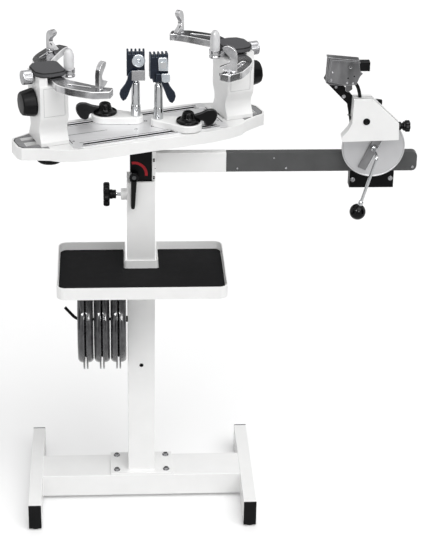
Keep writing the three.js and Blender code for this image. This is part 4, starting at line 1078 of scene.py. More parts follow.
@dataclass
class StringCases:
    """Three round clear cases of wound string on the rod.

    Attributes:
        core_gap: Gap from the core to the rod's bore and to the walls.
    """

    count: int = 3
    first: float = -59.5
    pitch: float = -42.0
    height: float = 520.0
    half: float = 20.0
    bore: float = 4.3
    boss: tuple = (10.0, 6.0, 0.8)
    rim: float = 129.0
    rim_gap: float = 2.2
    rim_wall: float = 4.0
    rim_rounding: float = 1.2
    shoulder: float = 102.0
    neck: float = 112.0
    wall: float = 1.6
    drum: float = 95.4
    core_gap: tuple = (0.1, 0.4)
    core_rounding: float = 1.0
    loops: int = 9
    loop_steps: int = 56
    string: float = 1.7
    travel: float = 31.0

    def shell_profile(self) -> Points:
        """Draw one half shell as radius and distance from the case's middle.

        The side wall curves as a quarter of an ellipse, from the shoulder's radius to the neck's, and the rim
        stands on it.

        Returns:
            The profile, out along its outer face and back along its inner face.
        """
        angle = np.linspace(0.0, np.pi / 2, 9)
        rim_out = self.rim_gap + self.rim_wall
        curve = np.column_stack((
            self.shoulder + (self.neck - self.shoulder) * np.sin(angle),
            rim_out + (self.half - rim_out) * np.cos(angle),
        ))
        corners = np.array([
            (self.neck, rim_out),
            (self.rim, rim_out),
            (self.rim, self.rim_gap),
            (self.neck - self.wall, self.rim_gap),
        ])
        rim = rounded(corners, self.rim_rounding, 3, closed=False)
        inner = curve[::-1] - (self.wall, self.wall)
        return np.vstack((curve, rim, inner))

    def build(self) -> None:
        """Make the cases."""
        for index in range(self.count):
            name, body = f"string_case_{index + 1}", f"case_{index + 1}"
            centre = (self.first + index * self.pitch, 0.0, self.height)
            shells = [turned(loop(self.shell_profile()), centre, way, 96) for way in (LEFT, RIGHT)]
            add_piece(f"{name}_rims", shells, body, SMOKED_RIM, stands_for=(name,))
            self.build_walls(name, body, centre)
            self.build_string(index, body, centre)

    def build_walls(self, name: str, body: str, centre: tuple) -> None:
        """Make the clear walls and bosses of a case, and its core.

        Args:
            name: The case's name.
            body: The body that it rides on.
            centre: Its middle.
        """
        inside = self.half - self.wall
        disc = box_outline((self.bore, self.shoulder), (self.half, inside))
        radius, depth, rounding = self.boss
        boss = rounded(box_outline((self.bore, radius), (self.half, self.half - depth)), rounding, 3)
        walls = [turned(loop(disc), centre, way, 72) for way in (LEFT, RIGHT)]
        walls += [turned(loop(boss), centre, way, 32) for way in (LEFT, RIGHT)]
        add_piece(f"{name}_walls", walls, body, CLEAR_SHELL)
        reach = inside - self.core_gap[1]
        side = (self.bore + self.core_gap[0], self.drum)
        core = rounded(box_outline(side, (-reach, reach)), self.core_rounding, 3)
        add_piece(f"{name}_core", [turned(loop(core), centre, RIGHT, 72)], body, STRING_GREY)

    def build_string(self, index: int, body: str, centre: tuple) -> None:
        """Wind the outer layer: a point turns about the axis at the drum's radius while it travels across.

        Args:
            index: The case's number from zero.
            body: The body that it rides on.
            centre: The case's middle.
        """
        steps = self.loops * self.loop_steps
        share = np.arange(steps + 1) / steps
        angle = share * self.loops * 2 * np.pi
        radius = self.drum + self.string
        path = np.column_stack((
            centre[0] + (share - 0.5) * self.travel,
            radius * np.sin(angle),
            self.height + radius * np.cos(angle),
        ))
        name = f"wound_string_{index + 1}"
        add_piece(f"{name}_fine", [tube(path, self.string, 8, RIGHT)], body, STRING_GREY, stands_for=(name,))


@dataclass
class HeightKnob:
    """The black star knob that clamps the inner column.

    Attributes:
        neck: Profile of the neck, as radius and distance towards -X.
    """

    height: float = 874.0
    neck: tuple = ((0, 0), (11, 0), (11, 7), (10, 8), (12, 9), (12, 16.5), (0, 16.5))
    neck_start: float = -62.0
    star: tuple = (-78.0, -94.0)
    radius: float = 30.4
    waist_share: float = 0.76
    lobes: int = 6
    rounding: float = 5.0
    stud: tuple = (-28.5, -63.0, 3.9)

    def build(self) -> None:
        """Make the knob and its stud."""
        near, far = self.star
        outline = star_outline(self.radius, self.waist_share, self.lobes, 96)
        star = lobed_body(outline, far, near, self.rounding, (0.0, self.height))
        neck = spun(self.neck, 1.0, (self.neck_start, 0, self.height), LEFT, steps=40)
        body = "height_knob_body"
        add_piece("height_knob_grip", [star, neck], body, BLACK_PLASTIC, stands_for=("height_knob",))
        start, end, radius = self.stud
        stud = knob_disc(radius, (start, 0, self.height), LEFT, start - end, 0.5, 20)
        add_piece("height_knob_stud", [stud], body, CHROME)


@dataclass
class Mast:
    """The lifting inner column with its side bar, scale band and screws.

    Attributes:
        softened: Nodes, finishes, edge widths and strips.
        proud: How far the slots and the band stand out of the front face.
        hub: X and height of the brake lever's axis.
        band: Inner and outer radius of the red band.
        band_angles: Where the band starts and ends, in degrees.
    """

    softened: tuple = (("inner_column", BLACK_PAINT, 1.6, 2), ("bar_sleeve", WHITE_PAINT, 1.6, 2))
    front: float = -27.0
    sunk: float = 0.3
    proud: tuple = (0.15, 0.25)
    hub: tuple = (-17.5, 939.0)
    band: tuple = (27.0, 34.0)
    band_angles: tuple = (100.0, -8.0)
    bar: tuple = (212.0, 690.0, 937.0, 987.5)
    bar_half: float = 10.0
    bar_corner: float = 14.3
    bar_screws: tuple = ((330.9, 973.0, 2.2), (361.8, 945.8, 3.0), (680.0, 946.5, 3.4), (240.0, 945.8, 2.4))
    screw_height: float = 0.9
    bracket_slots: tuple = ((31.6, 976.5), (31.6, 929.5))
    bracket_dot: tuple = (35.0, 954.0, 1.1)
    slot_size: tuple = (2.5, 0.4, 4.4)

    def build(self) -> None:
        """Make the mast's pieces: the bar is a rounded box, the band lies between two circles."""
        soften_all(self.softened)
        left, right, low, high = self.bar
        reach = np.array([HAIR, self.bar_corner, self.bar_corner, HAIR])
        outline = rounded(box_outline((left, right), (low, high)), reach, 8)
        body = prism(outline, -self.bar_half, self.bar_half, Axis.Y)
        add_piece(
            "tension_bar_rounded", [body], "mast", BAR_GREY, edge=0.9, segments=3, stands_for=("tension_bar",)
        )
        heads = []
        for x, z, radius in self.bar_screws:
            heads += screw(x, -self.bar_half, z, TOWARDS, radius, self.screw_height)
        add_piece("bar_screws", heads, "mast", TURNED_STEEL)
        self.build_slots()
        angle = np.radians(np.linspace(*self.band_angles, 36))
        ring = np.column_stack((np.cos(angle), np.sin(angle)))
        band = np.vstack((ring * self.band[1], ring[::-1] * self.band[0])) + self.hub
        shape = prism(band, self.front - self.proud[1], self.front + self.sunk, Axis.Y)
        add_piece("scale_band", [shape], "mast", ARC_RED)

    def build_slots(self) -> None:
        """Make the paired slots and the small hole in the bracket's front as dark pieces of painted shade."""
        half, near, far = self.slot_size
        back = self.front + self.sunk
        depth = (self.front - self.proud[0], back)
        slots = [
            slab((x - half, x + half), depth, sorted((z + way * near, z + way * far)))
            for x, z in self.bracket_slots
            for way in (-1, 1)
        ]
        x, z, radius = self.bracket_dot
        slots.append(knob_disc(radius, (x, back, z), TOWARDS, self.sunk + self.proud[0], 0.1, 20))
        add_piece("bracket_slots", slots, "mast", SHADOW_GAP)


@dataclass
class BrakeLever:
    """The black tapered lever on the front of the inner column."""

    hub: tuple = (-17.5, 939.0)
    hub_radius: float = 12.0
    back: float = -27.3
    front: float = -50.0
    tip: tuple = (-20.5, 859.0)
    widths: tuple = (15.0, 11.0)
    root_rise: float = 2.0
    tip_rise: float = 3.0
    tip_shares: tuple = (0.7, 0.9)
    rounding: float = 3.0
    thickness: float = 9.0
    ring: tuple = ((0, 0), (5.2, 0), (5.2, 1.0), (3.9, 1.0), (3.6, 0.4), (0, 0.4))

    def build(self) -> None:
        """Make the hub with its silver ring and the blade."""
        x, z = self.hub
        tip_x, tip_z = self.tip
        root, end = (width / 2 for width in self.widths)
        narrow, drop = (end * share for share in self.tip_shares)
        corners = np.array([
            (x - root, z + self.root_rise),
            (tip_x - end, tip_z + self.tip_rise),
            (tip_x - narrow, tip_z - drop),
            (tip_x + narrow, tip_z - drop),
            (tip_x + end, tip_z + self.tip_rise),
            (x + root, z + self.root_rise),
        ])
        blade = prism(rounded(corners, self.rounding, 6), self.front, self.front + self.thickness, Axis.Y)
        profile = box_outline((0, self.hub_radius), (0, self.back - self.front))
        hub = spun(profile, 1.8, (x, self.back, z), TOWARDS)
        body = "brake_lever_body"
        name = "brake_lever_blade"
        add_piece(name, [blade, hub], body, GLOSS_BLACK, edge=1.4, segments=3, stands_for=("brake_lever",))
        ring = spun(self.ring, 0.3, (x, self.front, z), TOWARDS, steps=40, strips=3)
        add_piece("brake_lever_ring", [ring], body, BAR_GREY)


# Tension head


@dataclass
class TensionHead:
    """The black carriage with its screws, and the silver wheel with its strap.

    Attributes:
        softened: Nodes, finishes, edge widths and strips.
        carriage_head: Head radius and height.
    """

    softened: tuple = (("carriage", BLACK_PAINT, 1.8, 2),)
    carriage_face: float = -9.8
    carriage_screws: tuple = ((530.6, 913.0), (626.0, 916.5))
    washer: tuple = (6.0, 1.2, 0.3)
    carriage_head: tuple = (4.4, 2.6)
    wheel: tuple = (574.0, 1011.0)
    wheel_radius: float = 78.4
    wheel_front: float = -36.0
    wheel_back: float = -29.0
    wheel_rim: tuple = (2.4, 3.4, 0.9)
    wheel_hub: tuple = (22.0, 1.0, 6.0, 0.6)
    rim_line: tuple = (2.9, 3.9, 0.2, 1.0)
    strap_front: float = -41.5
    strap_lean: float = 25.0
    strap_half: float = 11.5
    strap_flange: float = 2.5
    strap_reach: tuple = (-26.0, 62.0)
    strap_web: tuple = (2.2, 1.2)

    def build(self) -> None:
        """Make the carriage with its screws, the wheel and the strap."""
        soften_all(self.softened)
        heads = []
        radius, height, rounding = self.washer
        for x, z in self.carriage_screws:
            heads += [knob_disc(radius, (x, self.carriage_face, z), TOWARDS, height, rounding, 32)]
            heads += screw(x, self.carriage_face - height, z, TOWARDS, *self.carriage_head)
        add_piece("carriage_screws", heads, "head", TURNED_STEEL)
        self.build_wheel()
        self.build_strap()
        # Painted shade: a thin dark ring at the foot of the wheel's raised rim.
        x, z = self.wheel
        outer, inner, height, behind = self.rim_line
        line = box_outline((self.wheel_radius - inner, self.wheel_radius - outer), (0.0, height))
        shape = turned(loop(line), (x, self.wheel_front + behind, z), TOWARDS, 128)
        add_piece("wheel_rim_line", [shape], "crank_body", STRAP_GREY)

    def build_wheel(self) -> None:
        """Make the wheel with its raised rim and its hub."""
        x, z = self.wheel
        depth = self.wheel_back - self.wheel_front
        crest, foot, height = self.wheel_rim
        profile = (
            (0, 0),
            (self.wheel_radius, 0),
            (self.wheel_radius, depth),
            (self.wheel_radius - crest, depth),
            (self.wheel_radius - foot, depth - height),
            (0, depth - height),
        )
        disc = spun(profile, 0.7, (x, self.wheel_back, z), TOWARDS, steps=128)
        radius, inset, length, rounding = self.wheel_hub
        hub = knob_disc(radius, (x, self.wheel_back - inset, z), AWAY, length, rounding, 48)
        add_piece("crank_wheel_disc", [disc, hub], "crank_body", WHEEL_PAINT, stands_for=("crank_wheel",))

    def strip(self, near: float, far: float) -> Points:
        """Find the corners of a strip that runs down the strap: axle, plus way down, plus way across.

        Args:
            near: Distance of its first edge across the strap.
            far: Distance of its second edge.

        Returns:
            The four corners.
        """
        lean = np.radians(self.strap_lean)
        down = np.array((-np.sin(lean), -np.cos(lean)))
        across = np.array((np.cos(lean), -np.sin(lean)))
        top, bottom = self.strap_reach
        corners = ((bottom, near), (bottom, far), (top, far), (top, near))
        return np.array([self.wheel + down * reach + across * side for reach, side in corners])

    def build_strap(self) -> None:
        """Make the folded strap across the wheel: a web between two flanges, one of them chrome as a painted
        highlight.
        """
        sunk, seat = self.strap_web
        back = self.wheel_front + seat
        outer = self.strap_half
        inner = outer - self.strap_flange
        web = prism(rounded(self.strip(-outer, outer), 2.0, 4), self.strap_front + sunk, back, Axis.Y)
        # The dull flange keeps the strap's grey; the other is chrome, a painted highlight where light catches
        # its edge.
        dull, painted_highlight = (
            prism(self.strip(side * outer, side * inner), self.strap_front, back, Axis.Y) for side in (-1, 1)
        )
        add_piece("wheel_strap", [web, dull], "crank_body", STRAP_GREY, edge=0.4)
        add_piece("wheel_strap_bright_flange", [painted_highlight], "crank_body", CHROME, edge=0.4)


@dataclass
class Crank:
    """The chrome crank with its seat on the wheel, its collar and the black ball."""

    axle: tuple = (574.0, 1011.0)
    plane: float = -102.0
    lean: float = 15.6
    reach: float = 150.0
    root: float = -41.0
    rod: float = 3.95
    bend: float = 9.0
    rod_end: float = 14.0
    seat: tuple = ((0, 0), (8, 0), (8, 4.4), (5.6, 6.4), (0, 6.4))
    seat_start: float = -41.8
    collar: tuple = ((0, 0), (6.2, 0), (6.2, 9), (4.6, 12), (0, 12))
    collar_inset: float = 2.0
    ball: float = 20.0

    def build(self) -> None:
        """Make the rod with its rounded elbow, the seat and collar, and the ball as a turned half circle."""
        x, z = self.axle
        lean = np.radians(self.lean)
        down = np.array((-np.sin(lean), 0.0, -np.cos(lean)))
        elbow = np.array((x, self.plane, z))
        centre = elbow + down * self.reach
        corners = np.array([(x, self.root, z), elbow, centre - down * self.rod_end])
        path = rounded(corners, self.bend, 8, closed=False)
        seat = spun(self.seat, 0.8, (x, self.seat_start, z), TOWARDS, steps=40)
        collar = spun(self.collar, 1.0, centre - down * (self.ball - self.collar_inset), -down, steps=32)
        rod = tube(path, self.rod, 24, (0.9, 0.3, 0.1))
        add_piece("crank_rod", [rod, seat, collar], "crank_body", CHROME, stands_for=("crank",))
        angle = np.linspace(0.0, np.pi, 33)
        profile = np.column_stack((self.ball * np.sin(angle), -self.ball * np.cos(angle)))
        ball = turned(profile, centre, -down, 64)
        add_piece("ball_grip", [ball], "ball_body", GLOSS_BLACK, stands_for=("ball_knob",))


@dataclass
class TensionCover:
    """The white cover with its layered edge and black button, and the small star knob at its right.

    Attributes:
        softened: Nodes, finishes, edge widths and strips.
        corner: Left edge and underside of the cover.
        size: Width and height of the cover.
        seam_out: How far a seam stands out, sideways and upwards.
    """

    softened: tuple = (("tension_cover", WHITE_PAINT, 2.2, 3),)
    front: float = -72.0
    corner: tuple = (486.0, 1040.0)
    size: tuple = (143.5, 108.5)
    rim_shares: tuple = ((0.995, 0.41), (0.52, 1.0), (0.2, 1.0), (0.19, 0.5))
    layers: tuple = ((-66.0, 0.5), (-57.5, 0.8), (-49.0, 1.1))
    layer_width: float = 5.5
    lean_share: float = 0.4
    depth: float = 3.0
    seams: tuple = (-60.5, -51.9)
    seam_width: float = 2.9
    seam_out: tuple = (0.35, 0.45)
    button: tuple = ((0, -1), (8.6, -1), (8.6, 1.6), (6.8, 2.2), (5.6, 1.0), (2.6, 1.0), (2.0, 2.6), (0, 2.6))
    button_place: tuple = (547.6, 1093.0)
    knob: tuple = (644.5, -56.0, 1075.0)
    star: tuple = (14.5, 0.82, 6, 13.0, 3.6)
    stem: tuple = (
        (0, -11), (7.4, -11), (7.4, -1), (10.5, -1), (10.5, 5), (7.6, 7), (7.6, 9), (11.5, 12), (11.5, 15.6),
        (0, 15.6),
    )
    stem_back: float = 15.0

    def build(self) -> None:
        """Make the cover, its layers, dark seams of painted shade between them, its button, and the knob."""
        soften_all(self.softened)
        corners = shares(self.rim_shares, self.corner, *self.size)
        inside = (corners - (0.0, self.depth))[::-1]
        ribs = []
        for start, grow in self.layers:
            path = np.vstack((corners + (grow * self.lean_share, grow), inside))
            ribs.append(prism(path, start, start + self.layer_width, Axis.Y))
        add_piece("cover_layers", ribs, "head", WHITE_PAINT, edge=0.5)
        # Painted shade: dark strips in the gaps between the cover's layers.
        path = np.vstack((corners + self.seam_out, inside))
        seams = [prism(path, start, start + self.seam_width, Axis.Y) for start in self.seams]
        add_piece("cover_seams", seams, "head", SHADOW_GAP)
        x, z = self.button_place
        button = spun(self.button, 0.5, (x, self.front, z), TOWARDS, steps=40, strips=3)
        add_piece("cover_button", [button], "head", GLOSS_BLACK)
        self.build_knob()

    def build_knob(self) -> None:
        """Make the small black star knob with its stepped stem."""
        x, y, z = self.knob
        reach, waist, lobes, length, rounding = self.star
        star = lobed_body(star_outline(reach, waist, lobes, 72), x, x + length, rounding, (y, z))
        stem = spun(self.stem, 0.8, (x - self.stem_back, y, z), RIGHT, steps=40)
        body = "tension_knob_body"
        add_piece("tension_knob_grip", [star, stem], body, GLOSS_BLACK, stands_for=("tension_knob",))


@dataclass
class Gripper:
    """The black arm plate and the grey gripper with its plates, screws, links and jaw.

    Attributes:
        arm: The arm's node with its finish, edge width and strips.
        body: The gripper's node, given in the same way.
        jaw: The jaw's node, given in the same way.
        lip_reach: Y of the lip's front and back.
        link_reach: Y of the link's front and back.
    """

    arm: tuple = ("gripper_arm", BLACK_PAINT, 1.2, 2)
    arm_face: float = -32.0
    arm_screws: tuple = ((473.9, 1168.0, 3.4), (494.0, 1143.8, 5.0), (508.0, 1096.0, 2.6))
    arm_head: float = 1.8
    body: tuple = ("gripper_body", GRIPPER_GREY, 1.6, 2)
    jaw: tuple = ("gripper_jaw", BLACK_PLASTIC, 2.0, 3)
    front: float = -58.0
    plate: tuple = (
        (453.0, 1246.5), (524.0, 1240.0), (527.0, 1217.0), (534.5, 1212.5), (526.5, 1203.0), (520.0, 1183.5),
        (497.0, 1182.6), (450.0, 1190.0), (448.5, 1198.0),
    )
    plate_depth: tuple = (1.3, 0.6)
    fold: tuple = (
        (452.0, 1248.5), (526.0, 1242.0), (526.0, 1238.0), (457.0, 1243.8), (451.5, 1199.0), (447.6, 1199.0),
    )
    fold_depth: tuple = (2.6, 0.8)
    lip: tuple = ((446.5, 1253.0), (524.0, 1245.5), (524.0, 1243.0), (446.5, 1250.0))
    lip_reach: tuple = (-59.5, -35.5)
    proud: float = 1.2
    boss: tuple = (503.0, 1229.0, 6.2, 2.0)
    screws: tuple = ((460.4, 1215.5, 3.0), (457.5, 1195.5, 4.0), (496.3, 1188.8, 3.2), (510.6, 1187.6, 3.0))
    screw_height: float = 1.5
    holes: tuple = ((498.4, 1200.4), (513.2, 1205.2))
    hole: tuple = (1.9, 0.6, 0.1)
    hole_face: float = 1.0
    link: tuple = ((496.5, 1186.0), (510.0, 1186.0), (512.0, 1168.0), (500.0, 1160.0), (494.0, 1166.0))
    link_reach: tuple = (-50.0, -46.0)
    curved: tuple = ((516.0, 1188.0), (524.0, 1176.0), (529.0, 1160.0), (531.5, 1145.0))
    curved_plane: float = -52.0
    curved_radius: float = 4.2

    def build(self) -> None:
        """Make the arm with its screws, and the gripper's pieces."""
        soften_node(*self.arm)
        heads = []
        for x, z, radius in self.arm_screws:
            heads += screw(x, self.arm_face, z, TOWARDS, radius, self.arm_head)
        add_piece("arm_screws", heads, "head", TURNED_STEEL)
        soften_node(*self.body)
        self.build_plates()
        self.build_fasteners()
        self.build_links()
        soften_node(*self.jaw)

    def build_plates(self) -> None:
        """Make the front plate, its folds and the large screw."""
        out, deep = self.plate_depth
        plate = prism(rounded(np.array(self.plate), 2.5, 4), self.front - out, self.front + deep, Axis.Y)
        add_piece("gripper_front_plate", [plate], "gripper", GRIPPER_PLATE, edge=0.6)
        out, back = self.fold_depth
        fold = prism(np.array(self.fold), self.front - out, self.front - back, Axis.Y)
        lip = prism(np.array(self.lip), *self.lip_reach, Axis.Y)
        x, z, radius, height = self.boss
        boss = screw(x, self.front - self.proud, z, TOWARDS, radius, height)
        add_piece("gripper_folds", [fold, lip, *boss], "gripper", GRIPPER_PLATE, edge=0.5)

    def build_fasteners(self) -> None:
        """Make the small screws, and the holes as dark dots of painted shade."""
        heads = []
        for x, z, radius in self.screws:
            heads += screw(x, self.front - self.proud, z, TOWARDS, radius, self.screw_height)
        add_piece("gripper_screws", heads, "gripper", TURNED_STEEL)
        radius, length, rounding = self.hole
        face = self.front - self.hole_face
        dots = [knob_disc(radius, (x, face, z), TOWARDS, length, rounding, 20) for x, z in self.holes]
        add_piece("gripper_holes", dots, "gripper", SHADOW_GAP)

    def build_links(self) -> None:
        """Make the grey link and the curved black one."""
        link = prism(rounded(np.array(self.link), 2.5, 4), *self.link_reach, Axis.Y)
        add_piece("gripper_link", [link], "gripper", GRIPPER_PLATE, edge=0.7)
        path = np.array([(x, self.curved_plane, z) for x, z in self.curved])
        curve = flowing(path, 8, closed=False)
        add_piece("gripper_curved_link", [tube(curve, self.curved_radius, 16)], "gripper", BLACK_PLASTIC)


# Turntable and racket supports


@dataclass
class Turntable:
    """The white turntable casting with its track plate and the grey plates at its ends.

    Attributes:
        softened: Nodes, finishes, edge widths and strips.
        rail: Near and far edge of a rail past the slot's edge.
        rail_level: Reach under and over the plate's top.
        slot_shade: Near and far edge of a strip of painted shade in a slot, past the slot's edge.
        slot_shade_level: Reach under and over the plate's top.
        corner_level: Reach under and over the plate's top.
        line_level: Reach under and over the plate's top.
        screw_head: Head radius and height.
        middle_head: Head radius and height.
        groove_level: Reach under and over the plate's top.
        rib_level: Reach under and over the plate's top.
    """

    softened: tuple = (("turntable", WHITE_PAINT, 2.6, 3), ("track_plate", BRUSHED_PLATE, 0.5, 2))
    rim: float = 1057.0
    track_top: float = 1059.0
    slot_offset: float = 65.0
    slot_half: float = 5.0
    slot_reach: float = 172.0
    rail: tuple = (0.6, 3.2)
    rail_level: tuple = (0.4, 0.25)
    slot_shade: tuple = (-0.2, 0.0)
    slot_shade_level: tuple = (6.9, -0.7)
    corner_plate: tuple = (197.0, 179.5, 54.0, 86.0)
    corner_level: tuple = (0.3, 0.5)
    line_reach: float = 179.0
    line_bands: tuple = ((53.6, 55.5), (74.4, 77.2))
    line_level: tuple = (0.3, 0.1)
    screws: tuple = ((189.0, 74.0), (189.0, 40.0))
    screw_head: tuple = (3.2, 0.5)
    middle_screws: tuple = ((21.0, 21.0), (24.0, -18.0), (-21.0, -21.0), (-24.0, 18.0))
    middle_head: tuple = (4.6, 0.45)
    screw_sunk: float = 0.2
    groove: tuple = (-198.0, -88.0, 0.9)
    groove_level: tuple = (0.3, 0.08)
    rib: tuple = (196.02, 1.0, 60.0)
    rib_level: tuple = (0.3, 0.06)
    end_plate: tuple = ((255.0, 55.0), (288.0, 39.0), (311.5, 31.0), (318.5, 17.0))
    end_rounding: float = 3.0
    end_line: float = 1.9
    well: tuple = (208.0, 302.0, 27.0, 6.0)
    well_slot: float = 10.0
    skin: float = 0.4

    def build(self) -> None:
        """Make the end plates, the casting and all that lies on the track plate."""
        self.build_end_plates()
        soften_all(self.softened)
        rails = self.slot_strips(self.rail, self.rail_level)
        self.add("track_rails", rails, BRUSHED_PLATE, 0.2)
        # Painted shade: dark strips down the slots stand in for the shade in the deep channels.
        self.add("track_slot_shade", self.slot_strips(self.slot_shade, self.slot_shade_level), SHADOW_GAP)
        outer, inner, near, far = self.corner_plate
        level = self.level(self.corner_level)
        corners = [
            slab(sorted((way * outer, way * inner)), sorted((side * near, side * far)), level)
            for way in (-1, 1)
            for side in (-1, 1)
        ]
        self.add("track_corner_plates", corners, BRUSHED_PLATE, 0.3)
        # Painted shade: dark lines along the track plate beside the slots.
        level = self.level(self.line_level)
        lines = [
            slab((-self.line_reach, self.line_reach), sorted((side * near, side * far)), level)
            for near, far in self.line_bands
            for side in (-1, 1)
        ]
        self.add("track_dark_lines", lines, SHADOW_GAP)
        self.build_screws()
        # Painted shade: a dark strip in the middle groove and thin dark lines near both ends of the plate.
        start, end, half = self.groove
        line = slab((start, end), (-half, half), self.level(self.groove_level))
        distance, half, reach = self.rib
        ribs = [
            slab((way * distance - half, way * distance + half), (-reach, reach), self.level(self.rib_level))
            for way in (1, -1)
        ]
        self.add("track_groove", [line, *ribs], SHADOW_GAP)

    def add(self, name: str, shapes: list, finish: Finish, edge: float = 0.0) -> None:
        """Make one piece of the turntable.

        Args:
            name: The piece's name.
            shapes: Its shapes.
            finish: Its finish.
            edge: Width of its rounded edges.
        """
        add_piece(name, shapes, "turntable_body", finish, TABLE, edge=edge)

    def level(self, limits: tuple) -> tuple:
        """Turn how far something goes under and over the plate's top into two heights."""
        return self.track_top - limits[0], self.track_top + limits[1]

    def slot_strips(self, edges: tuple, limits: tuple) -> list:
        """Lay a strip along both edges of both slots.

        Args:
            edges: Near and far edge of each strip past the slot's edge.
            limits: How far the strips go under and over the plate's top.

        Returns:
            The four strips.
        """
        strips = []
        for side in (-1, 1):
            for way in (-1, 1):
                across = sorted(side * self.slot_offset + way * (self.slot_half + edge) for edge in edges)
                strips.append(slab((-self.slot_reach, self.slot_reach), across, self.level(limits)))
        return strips

    def build_screws(self) -> None:
        """Make the track plate's corner screws and middle screws."""
        heads = []
        low = self.track_top - self.screw_sunk
        for x, y in self.screws:
            for way, side in ((1, 1), (1, -1), (-1, 1), (-1, -1)):
                heads += screw(way * x, side * y, low, UP, *self.screw_head)
        for x, y in self.middle_screws:
            heads += screw(x, y, low, UP, *self.middle_head)
        self.add("track_screws", heads, TURNED_STEEL)

    def build_end_plates(self) -> None:
        """Make the grey plate round the well at each end, with a dark line of painted shade round it, and the
        well's floor.
        """
        inner, outer, half, depth = self.well
        gap = 2 * self.skin
        notch = np.array([(self.end_plate[0][0], -half - gap), (outer + gap, -half - gap)])
        low = self.rim - self.skin
        floor = self.rim - depth
        plates = []
        lines = []
        for way in (-1, 1):
            for shapes, grow, high in ((plates, 0.0, self.skin), (lines, self.end_line, self.skin / 2)):
                side = rounded(np.array(self.end_plate) + (0.0, grow), self.end_rounding, 4, closed=False)
                side[side[:, 0] > outer] += (grow, 0.0)
                outline = np.vstack((side, side[::-1] * (1, -1), notch, notch[::-1] * (1, -1)))
                shapes.append(prism(outline * (way, 1), low, self.rim + high))
            for side in (-1, 1):
                reach = sorted((way * (inner + gap), way * (outer - gap)))
                across = sorted((side * (self.well_slot + gap), side * (half - gap)))
                plates.append(slab(reach, across, (floor - self.skin, floor + self.skin / 2)))
        self.add("end_plates", plates, END_GREY)
        self.add("end_plate_lines", lines, SHADOW_GAP)


